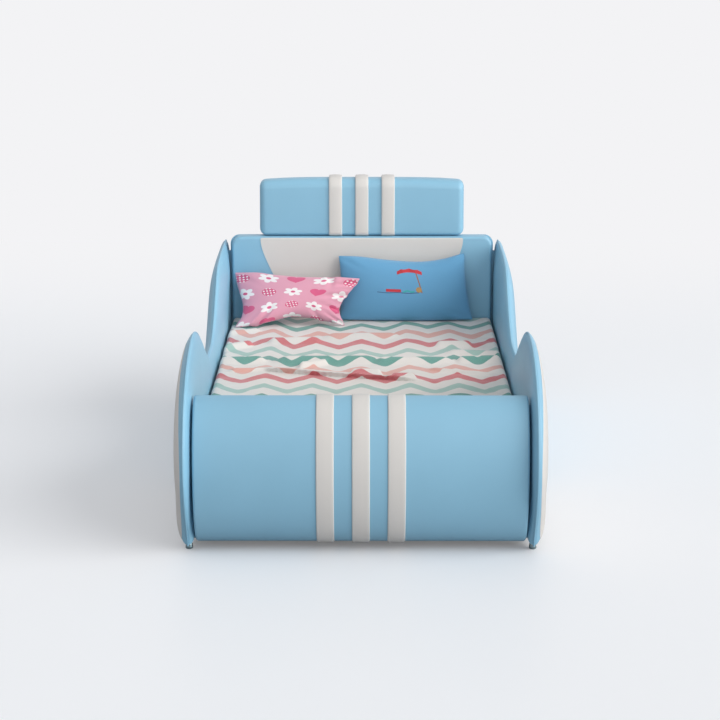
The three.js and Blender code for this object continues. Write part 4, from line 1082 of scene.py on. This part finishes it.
def quiltMesh():
    look = quiltLook
    length = quiltHigh.y - quiltLow.y
    mesh = bmesh.new()
    steps = (round(look["width"] / look["spacing"]), round(length / look["spacing"]))
    bmesh.ops.create_grid(mesh, x_segments=steps[0], y_segments=steps[1], size=0.5)
    layer = mesh.loops.layers.uv.new("UVMap")
    grid = {}
    for vert in mesh.verts:
        column, row = round((vert.co.x + 0.5) * steps[0]), round((vert.co.y + 0.5) * steps[1])
        grid[column, row] = vert
        vert.co = drape(vert.co.x * look["width"], quiltLow.y + (vert.co.y + 0.5) * length)
    walked = {}
    for column in range(steps[0] + 1):
        walked[column, 0] = 0
        for row in range(1, steps[1] + 1):
            step = (grid[column, row].co - grid[column, row - 1].co).yz.length
            walked[column, row] = walked[column, row - 1] + step
    # The print follows the cloth up and down its folds, evened out over a few neighbouring columns.
    chart = {}
    for (column, row), vert in grid.items():
        near = range(max(column - look["evenOut"], 0), min(column + look["evenOut"], steps[0]) + 1)
        along = sum(walked[other, row] for other in near) / len(near)
        chart[vert] = ((column / steps[0] - 0.5) * look["width"], along)
    for face in mesh.faces:
        for corner in face.loops:
            corner[layer].uv = chart[corner.vert]
    bmesh.ops.recalc_face_normals(mesh, faces=mesh.faces[:])
    return mesh, max(walked.values())


def quiltPrint(name):
    look = quiltLook
    finish, across, along, weave, slub = cotton(name)
    wobble = finish.cloud(finish.place("UV"), 16, 2)
    turn = (across / look["period"] - 0.25) * (2 * math.pi)
    swing = (turn.sine() * 0.97).maths("ARCSINE") * (2 / math.pi)
    row = (along - look["firstRow"] + swing * look["swing"] + wobble * 0.012) / look["pitch"]
    nearest = (row + 0.5).floor()
    kind = (nearest % 4) / 4 + 0.01
    stops = [(count / 4, colour) for count, colour in enumerate(look["rows"])]
    colour = finish.ramp(kind, stops, step=True)
    widths = [(count / 4, (half, half, half)) for count, half in enumerate(look["halfWidths"])]
    half = finish.ramp(kind, widths, step=True)
    printed = (abs(row - nearest) - Wire(finish, half.socket)).within(0.0, 0.018)
    ground = finish.mix(slub * 0.5, look["ground"], darker(look["ground"], 0.93))
    inked = finish.mix(slub * 0.14 + weave * 0.05, colour, look["ground"])
    finish.paint(Base_Color=finish.mix(printed, ground, inked), Roughness=0.85 + slub * 0.1)
    creased = finish.cloud(finish.place("UV"), 55, 3)
    return finish.bump((creased, 0.0008), (weave, weaveLook["depth"])).material


mesh, quiltLength = quiltMesh()
quilt = addPiece("quiltCloth", mesh, quiltPrint("quiltCotton"), "mattress_set", 70)
standsFor(thickened(quilt, quiltLook["thickness"]), "quilt")


print("pillows")

# Corners are where the pillow's corners lie. Each side is drawn in by the lengths of its list, which are
# evenly spaced along it from left to right or from the bottom up. Creases run between two places of the
# pillow, given as shares from -1 to 1 across and up.
pinkLook = {
    "node": "pillow_pink",
    "body": "pink_pillow",
    "size": (0.58, 0.35),
    "corners": [(-0.58, 0.8, 0.446), (-0.082, 0.842, 0.446), (-0.592, 1.012, 0.655), (-0.01, 0.87, 0.656)],
    "low": [0, 0.004, 0.026, 0.045, 0.037, 0.018, 0],
    "top": [0, -0.007, 0.001, 0.005, 0.003, -0.003, 0],
    "left": [0, 0.026, 0.035, 0.030, 0.017, 0.006, 0],
    "right": [0, 0.028, 0.047, 0.045, 0.030, 0.013, 0],
    "front": 0.052,
    "back": 0.040,
    "sag": 0.10,
    "crimp": 0.0045,
    "creases": [
        ((-0.62, -1.0), (-0.36, -0.30), 0.014, 0.07), ((1.0, 0.25), (0.52, 0.02), 0.016, 0.07),
        ((1.0, -0.40), (0.60, -0.28), 0.015, 0.06), ((0.98, 0.80), (0.58, 0.48), 0.012, 0.08),
        ((-0.96, 0.86), (-0.62, 0.42), 0.006, 0.08), ((0.55, -1.0), (0.42, -0.55), 0.008, 0.06),
        ((0.98, -0.98), (0.70, -0.60), 0.011, 0.06), ((-1.0, -0.15), (-0.70, -0.05), 0.006, 0.08),
        ((0.55, 1.0), (0.66, 0.42), 0.009, 0.05),
    ],
}
blueLook = {
    "node": "pillow_blue",
    "body": "blue_pillow",
    "size": (0.60, 0.34),
    "corners": [(-0.102, 0.958, 0.450), (0.517, 0.958, 0.452), (-0.106, 1.004, 0.742), (0.478, 1.004, 0.754)],
    "low": [0, -0.003, -0.005, -0.006, -0.006, -0.004, 0],
    "top": [0, 0.005, 0.019, 0.030, 0.034, 0.023, 0],
    "left": [0, 0.005, 0.008, 0.009, 0.008, 0.005, 0],
    "right": [0, 0.006, 0.009, 0.010, 0.009, 0.006, 0],
    "front": 0.072,
    "back": 0.020,
    "sag": 0.20,
    "crimp": 0.0016,
    "creases": [
        ((-0.98, 0.96), (-0.62, 0.58), 0.004, 0.07), ((0.98, 0.96), (0.66, 0.56), 0.004, 0.07),
        ((-0.98, -0.96), (-0.70, -0.60), 0.003, 0.07), ((0.98, -0.96), (0.66, -0.62), 0.004, 0.07),
    ],
}
pillowLook = {"spacing": 0.009, "fullness": 0.46, "drawFade": 1.6, "seam": 0.0014, "gap": 0.0005}


def alongSide(lengths, share):  # a smooth line through evenly spaced lengths, share runs from -1 to 1
    spot = (share + 1) / 2 * (len(lengths) - 1)
    index = min(max(int(spot), 0), len(lengths) - 2)
    t = spot - index
    before, near, far, after = [lengths[0], *lengths, lengths[-1]][index:index + 4]
    curve = 2 * before - 5 * near + 4 * far - after + t * (3 * (near - far) + after - before)
    return near + 0.5 * t * (far - before + t * curve)


def creaseDepth(look, across, up):
    depth = 0
    for start, end, deep, wide in look["creases"]:
        line = Vector(end) - Vector(start)
        spot = Vector((across, up)) - Vector(start)
        share = min(max(spot.dot(line) / line.length_squared, 0), 1)
        far = (spot - line * share).length / wide
        hollow = math.exp(-far * far) - 0.45 * math.exp(-((far - 1.7) ** 2) * 1.5)
        depth += deep * (1 - share * 0.85) * hollow
    return depth


def pillowPlace(look, across, up, side):
    lowLeft, lowRight, topLeft, topRight = (Vector(place) for place in look["corners"])
    sideways = (lowRight - lowLeft + topRight - topLeft).normalized()
    upward = (topLeft - lowLeft + topRight - lowRight).normalized()
    right, top = (across + 1) / 2, (up + 1) / 2
    spot = lowLeft.lerp(lowRight, right).lerp(topLeft.lerp(topRight, right), top)
    fade = pillowLook["drawFade"]
    spot += sideways * (alongSide(look["left"], up) * ((1 - across) / 2) ** fade)
    spot -= sideways * (alongSide(look["right"], up) * ((1 + across) / 2) ** fade)
    spot += upward * (alongSide(look["low"], across) * ((1 - up) / 2) ** fade)
    spot -= upward * (alongSide(look["top"], across) * ((1 + up) / 2) ** fade)
    full = max((1 - across * across) * (1 - up * up), 0) ** pillowLook["fullness"]
    near = max(abs(across), abs(up))
    ripple = noise.noise(Vector((across * 4.2, up * 3.1, side * 3 + look["front"] * 70)))
    crimp = ripple * look["crimp"] * near ** 3
    slack = noise.noise(Vector((across * 1.6, up * 1.4, 7 + side))) * 0.004 * full
    puff = look["front"] * full - creaseDepth(look, across, up) if side > 0 else -look["back"] * full
    spot += sideways.cross(upward).normalized() * (puff + crimp + slack)
    return spot - upward * (abs(puff) * look["sag"] * smooth(0.3 - up))


def pillowMesh(look):
    width, height = look["size"]
    mesh = bmesh.new()
    steps = (round(width / pillowLook["spacing"]), round(height / pillowLook["spacing"]))
    layer = mesh.loops.layers.uv.new("UVMap")
    for side, shift in ((1, 1), (-1, 5)):  # the shift keeps the stitched picture off the back
        for vert in bmesh.ops.create_grid(mesh, x_segments=steps[0], y_segments=steps[1], size=1)["verts"]:
            across, up = (math.sin(math.radians(90 * share)) for share in vert.co.xy)
            for corner in vert.link_loops:
                corner[layer].uv = (across * width / 2 + shift, up * height / 2 + 1)
            vert.co = pillowPlace(look, across, up, 1 if vert.is_boundary else side)
    bmesh.ops.remove_doubles(mesh, verts=mesh.verts[:], dist=0.00001)
    bmesh.ops.recalc_face_normals(mesh, faces=mesh.faces[:])
    return mesh


def pillow(name, look, material):
    piece = addPiece(name, pillowMesh(look), material, look["body"], 80)
    shares = [math.sin(math.radians(90 * (step / 24 - 1))) for step in range(48)]
    rim = [(share, -1) for share in shares] + [(1, share) for share in shares]
    rim += [(-share, 1) for share in shares] + [(-1, -share) for share in shares]
    line = [pillowPlace(look, across, up, 1) for across, up in rim]
    seam = tube(f"{name}Seam", line, pillowLook["seam"], material, look["body"])
    drop = seatOn([piece, seam], quiltSurface)
    print(name, "let down by", round(drop * 1000, 1), "mm")
    standsFor(piece, look["node"])


def seatOn(pieces, surface):  # lets the pieces down until they just touch the surface
    clear = 1
    for piece in pieces:
        for vert in piece.data.vertices:
            hit = surface.ray_cast(vert.co + Vector((0, 0, 0.2)), Vector((0, 0, -1)))[0]
            if hit:
                clear = min(clear, vert.co.z - hit.z)
    for piece in pieces:
        for vert in piece.data.vertices:
            vert.co.z -= clear - pillowLook["gap"]
        piece.data.update()
    return clear


printLook = {
    "pinkGround": tone(222, 158, 178),
    "deepPink": tone(212, 92, 132),
    "white": tone(238, 232, 232),
    "cell": (0.134, 0.105),
    "heart": 0.044,
    "daisy": 0.056,
    "dot": 0.042,
    "blueGround": tone(98, 158, 197),
    "red": tone(196, 52, 62),
    "teal": tone(60, 170, 170),
    "thread": tone(52, 84, 124),
    "wood": tone(150, 104, 78),
    "ochre": tone(176, 140, 86),
    "parasol": (1.031, 1.110),
    "line": 0.990,
}


def inkedOver(finish, colour, layers):  # each layer is (where, ink), the last lies on top
    for where, ink in layers:
        colour = finish.mix(where, colour, ink)
    return colour


# A staggered print: hearts, daisies and dotted discs by turns.
def pinkPrint(name):
    look = printLook
    finish, across, along, weave, slub = cotton(name)
    wide, tall = look["cell"]
    row = ((along - 0.03) / tall).floor()
    column = (across / wide).floor()
    x = across - (column + 0.5) * wide
    y = along - 0.03 - (row + 0.5) * tall
    kind = (column + row) % 4
    lean = (column * 1.7 + row * 2.3).sine() * 0.3
    x, y = x - y * lean, y * 1.5 + x * lean
    reach = (x * x + y * y) ** 0.5
    turn = y.maths("ARCTAN2", x)
    heartX, heartY = abs(x) / look["heart"], y / look["heart"]
    heart = (heartX * heartX + (heartY * 1.15 - (heartX + 0.0001) ** 0.5 * 0.75 + 0.15) ** 2).within(1, 0.12)
    petals = (reach / look["daisy"] - abs((turn * 3).sine()) * 0.40).within(0.58, 0.04)
    middle = (reach / look["daisy"]).within(0.24, 0.04)
    disc = (reach / look["dot"]).within(1, 0.06) * (kind > 2.5)
    dots = abs((x * 170).sine() * (y * 125).sine()).within(0.66, 0.12)
    ground = finish.mix(slub * 0.4 + weave * 0.1, look["pinkGround"], darker(look["pinkGround"], 0.92))
    heartHere = (kind > 0.5) * (kind < 1.5)
    daisyHere = (kind % 2) < 0.5
    layers = [
        (heart * heartHere, look["deepPink"]), (petals * daisyHere, look["white"]),
        (middle * daisyHere, look["deepPink"]), (disc, look["white"]), (disc * dots, look["deepPink"]),
    ]
    finish.paint(Base_Color=inkedOver(finish, ground, layers), Roughness=0.82 + slub * 0.1)
    return finish.bump((weave, weaveLook["depth"])).material


# A small stitched picture: a parasol on its stick over a beach line with a towel and a wave.
def bluePrint(name):
    look = printLook
    finish, across, along, weave, slub = cotton(name)
    ground = finish.mix(slub * 0.4 + weave * 0.1, look["blueGround"], darker(look["blueGround"], 0.92))
    middle, top = look["parasol"]
    line = look["line"]

    def band(value, low, high):
        return (value > low) * (value < high)

    x, y = across - middle, along - top
    arch = x * x * -4.5
    canopy = band(y - arch, -0.004, 0.020) * band(x, -0.060, 0.060)
    canopy = canopy * band(y - arch + abs((x * 78).sine()) * 0.005, -0.004, 0.020)
    stick = band(x + y * 0.20 - 0.030, -0.003, 0.003) * band(along, line, top - 0.006)
    stripes = (x * 105).sine() > 0.2
    thread = band(along - line - (across * 60).sine() * 0.0012, -0.0018, 0.0018) * band(x, -0.160, 0.040)
    towel = band(along - line, 0.004, 0.018) * band(x, -0.118, -0.046)
    wave = band(along - line - (across * 150).sine() * 0.003, 0.004, 0.012) * band(x, -0.036, 0.018)
    ball = ((x - 0.040) ** 2 + (along - line - 0.016) ** 2).within(0.00020, 0.00003)
    layers = [
        (stick, look["wood"]), (canopy, look["red"]), (canopy * stripes * 0.35, darker(look["red"], 0.45)),
        (thread, look["thread"]), (towel, look["red"]), (wave, look["teal"]), (ball, look["ochre"]),
    ]
    finish.paint(Base_Color=inkedOver(finish, ground, layers), Roughness=0.80 + slub * 0.1)
    stitched = canopy.most(towel).most(thread)
    return finish.bump((weave, weaveLook["depth"]), (stitched, 0.0005)).material


quiltSurface = surfaceOf(quilt)
pillow("pillowPink", pinkLook, pinkPrint("pinkCotton"))
pillow("pillowBlue", blueLook, bluePrint("blueCotton"))


print("metal and wood")

# Dome-headed bolts with washers hold the rails and the corner brackets where their holes are. The holes'
# places are measured from the rail's ends and from the bracket's outer corner.
boltLook = {
    "washer": 0.0095,
    "washerDepth": 0.0015,
    "head": 0.0065,
    "rise": 0.0040,
    "steps": 14,
    "railWall": 0.003,
    "railEnd": 0.117,
    "bracketWall": 0.004,
    "bracketSide": 0.0507,
    "bracketEnd": 0.0592,
    "levels": (0.25, 0.75),
}


def boltHead(mesh, place, direction):
    look = boltLook
    turn = Vector(direction).to_track_quat("Z", "Y").to_matrix()
    washer, depth, head = look["washer"], look["washerDepth"], look["head"]
    profile = [(washer, 0), (washer, depth), (head, depth)]
    for step in range(1, 4):
        lift = math.pi / 8 * step
        profile.append((head * math.cos(lift), depth + look["rise"] * math.sin(lift)))
    angles = [2 * math.pi * step / look["steps"] for step in range(look["steps"])]
    rings = []
    for radius, height in profile:
        spots = [Vector((radius * math.cos(angle), radius * math.sin(angle), height)) for angle in angles]
        rings.append([mesh.verts.new(Vector(place) + turn @ spot) for spot in spots])
    for low, high in zip(rings, rings[1:]):
        for step in range(look["steps"]):
            after = (step + 1) % look["steps"]
            mesh.faces.new((low[step], low[after], high[after], high[step]))
    mesh.faces.new(list(reversed(rings[0])))
    mesh.faces.new(rings[-1])


def boltPlaces():
    look = boltLook
    wall = look["bracketWall"]
    railLow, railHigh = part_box("side_rail_right")
    first, last = railLow.y + look["railEnd"], railHigh.y - look["railEnd"]
    for side in (-1, 1):
        for step in range(4):
            y = first + (last - first) * step / 3
            yield (side * (railHigh.x - look["railWall"]), y, (railLow.z + railHigh.z) / 2), (-side, 0, 0)
        for end, inward in (("foot", 1), ("head", -1)):
            low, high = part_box(f"bracket_{end}_right")
            faceY = low.y if inward > 0 else high.y
            for share in look["levels"]:
                z = low.z + (high.z - low.z) * share
                yield (side * (high.x - wall), faceY + inward * look["bracketSide"], z), (-side, 0, 0)
                yield (side * (high.x - look["bracketEnd"]), faceY + inward * wall, z), (0, inward, 0)


boltMesh = bmesh.new()
for place, direction in boltPlaces():
    boltHead(boltMesh, place, direction)
addPiece("boltHeads", boltMesh, footChromePaintedShade, "bed")

finishOfSlot = {
    "board_ply": boardWood,
    "slat_wood": slatWood,
    "steel_black": frameSteel,
    "foot_chrome": footChromePaintedShade,
    "glide_nylon": glideNylon,
}
for part in frame["record"]["subparts"]:
    finish = finishOfSlot.get(part["material_slot"])
    if finish:
        data = frame["nodes"][part["node"]].data
        data.materials.clear()
        data.materials.append(finish)


print("room, lamps and camera")

roomLook = {
    "floor": tone(245, 247, 250),
    "bounce": tone(176, 178, 182),
    "glow": 0.15,
    "glowFrom": 2.0,
    "glowRun": 3.5,
    "size": 60,
    "world": 0.54,
    "sky": tone(250, 252, 255),
    "backdrop": tone(243, 243, 245),
}


# Seen by the camera, the floor fades into the backdrop behind the bed and keeps the shadow near it.
def floorFinish():
    look = roomLook
    finish = Finish("floorPaint", Roughness=0.5)
    place = finish.place()
    clouds = finish.cloud(place, 1.5, 3)
    seen = finish.node("ShaderNodeLightPath")
    away = ((finish.split(place)[1] - look["glowFrom"]) / look["glowRun"]).most(0).least(1)
    lit = finish.mix(clouds, darker(look["floor"], 0.985), look["floor"])
    finish.paint(Base_Color=finish.mix(seen, look["bounce"], lit), Roughness=0.42 + clouds * 0.06)
    finish.shader.inputs["Specular IOR Level"].default_value = 0.3
    glow = finish.node("ShaderNodeEmission", {}, {"Color": (*look["backdrop"], 1), "Strength": 1})
    share = seen * (away * away * (away * -2 + 3) * (1 - look["glow"]) + look["glow"])
    blend = finish.node("ShaderNodeMixShader", {}, {0: share})
    finish.tree.links.new(finish.shader.outputs[0], blend.socket.node.inputs[1])
    finish.tree.links.new(glow.socket, blend.socket.node.inputs[2])
    finish.tree.links.new(blend.socket, finish.tree.nodes["Material Output"].inputs[0])
    return finish.material


floorMesh = bmesh.new()
bmesh.ops.create_grid(floorMesh, x_segments=4, y_segments=4, size=roomLook["size"] / 2)
floor = placed("floor", dataOf("floor", floorMesh))
floor.data.materials.append(floorFinish())

world = bpy.data.worlds.new("studio")
world.use_nodes = True
scene.world = world
links, nodes = world.node_tree.links, world.node_tree.nodes
background = nodes["Background"]
background.inputs["Color"].default_value = (*roomLook["sky"], 1)
background.inputs["Strength"].default_value = roomLook["world"]
backdrop = nodes.new("ShaderNodeBackground")
backdrop.inputs["Color"].default_value = (*roomLook["backdrop"], 1)
rays = nodes.new("ShaderNodeLightPath")
choose = nodes.new("ShaderNodeMixShader")
either = nodes.new("ShaderNodeMath")
either.operation = "MAXIMUM"
links.new(rays.outputs["Is Camera Ray"], either.inputs[0])
links.new(rays.outputs["Is Glossy Ray"], either.inputs[1])
links.new(either.outputs[0], choose.inputs[0])
links.new(background.outputs[0], choose.inputs[1])
links.new(backdrop.outputs[0], choose.inputs[2])
links.new(choose.outputs[0], nodes["World Output"].inputs["Surface"])

# Two far, soft lamps light the floor the same everywhere; a weak one over the bed's foot lights the head.
lampLook = {
    "key": {"from": (0.84, -0.42, 0.36), "softness": 60, "strength": 3.1, "colour": (1, 0.985, 0.965)},
    "fill": {"from": (-0.25, -0.80, 0.45), "softness": 80, "strength": 0.25, "colour": (0.97, 0.985, 1)},
}
headLampLook = {
    "place": (0.15, -1.05, 1.55), "aim": (0.0, 1.10, 0.86), "size": (1.3, 0.5), "spread": 110, "power": 2.2,
}


def addLamp(name, kind, strength, direction):
    lamp = placed(name, bpy.data.lights.new(name, kind))
    lamp.data.energy = strength
    lamp.rotation_euler = direction.to_track_quat("Z", "Y").to_euler()
    return lamp


for lampName, look in lampLook.items():
    lamp = addLamp(lampName, "SUN", look["strength"], Vector(look["from"]))
    lamp.data.angle = math.radians(look["softness"])
    lamp.data.color = look["colour"]

headLampPlace = Vector(headLampLook["place"])
lamp = addLamp("headLamp", "AREA", headLampLook["power"], headLampPlace - Vector(headLampLook["aim"]))
lamp.location = headLampPlace
lamp.data.shape = "RECTANGLE"
lamp.data.size, lamp.data.size_y = headLampLook["size"]
lamp.data.spread = math.radians(headLampLook["spread"])

cameraLook = {
    "place": (0.0132, -7.875, 2.404),
    "pitchDown": 13.7,
    "yawLeft": 0.138,
    "focalPixels": 1928,
    "pixels": 720,
}
cameraData = bpy.data.cameras.new("camera")
cameraData.sensor_width = 36
cameraData.lens = 36 * cameraLook["focalPixels"] / cameraLook["pixels"]
camera = placed("camera", cameraData)
camera.location = cameraLook["place"]
camera.rotation_euler = (math.radians(90 - cameraLook["pitchDown"]), 0, math.radians(cameraLook["yawLeft"]))
scene.camera = camera

scene.view_settings.view_transform = "Standard"
print("done")
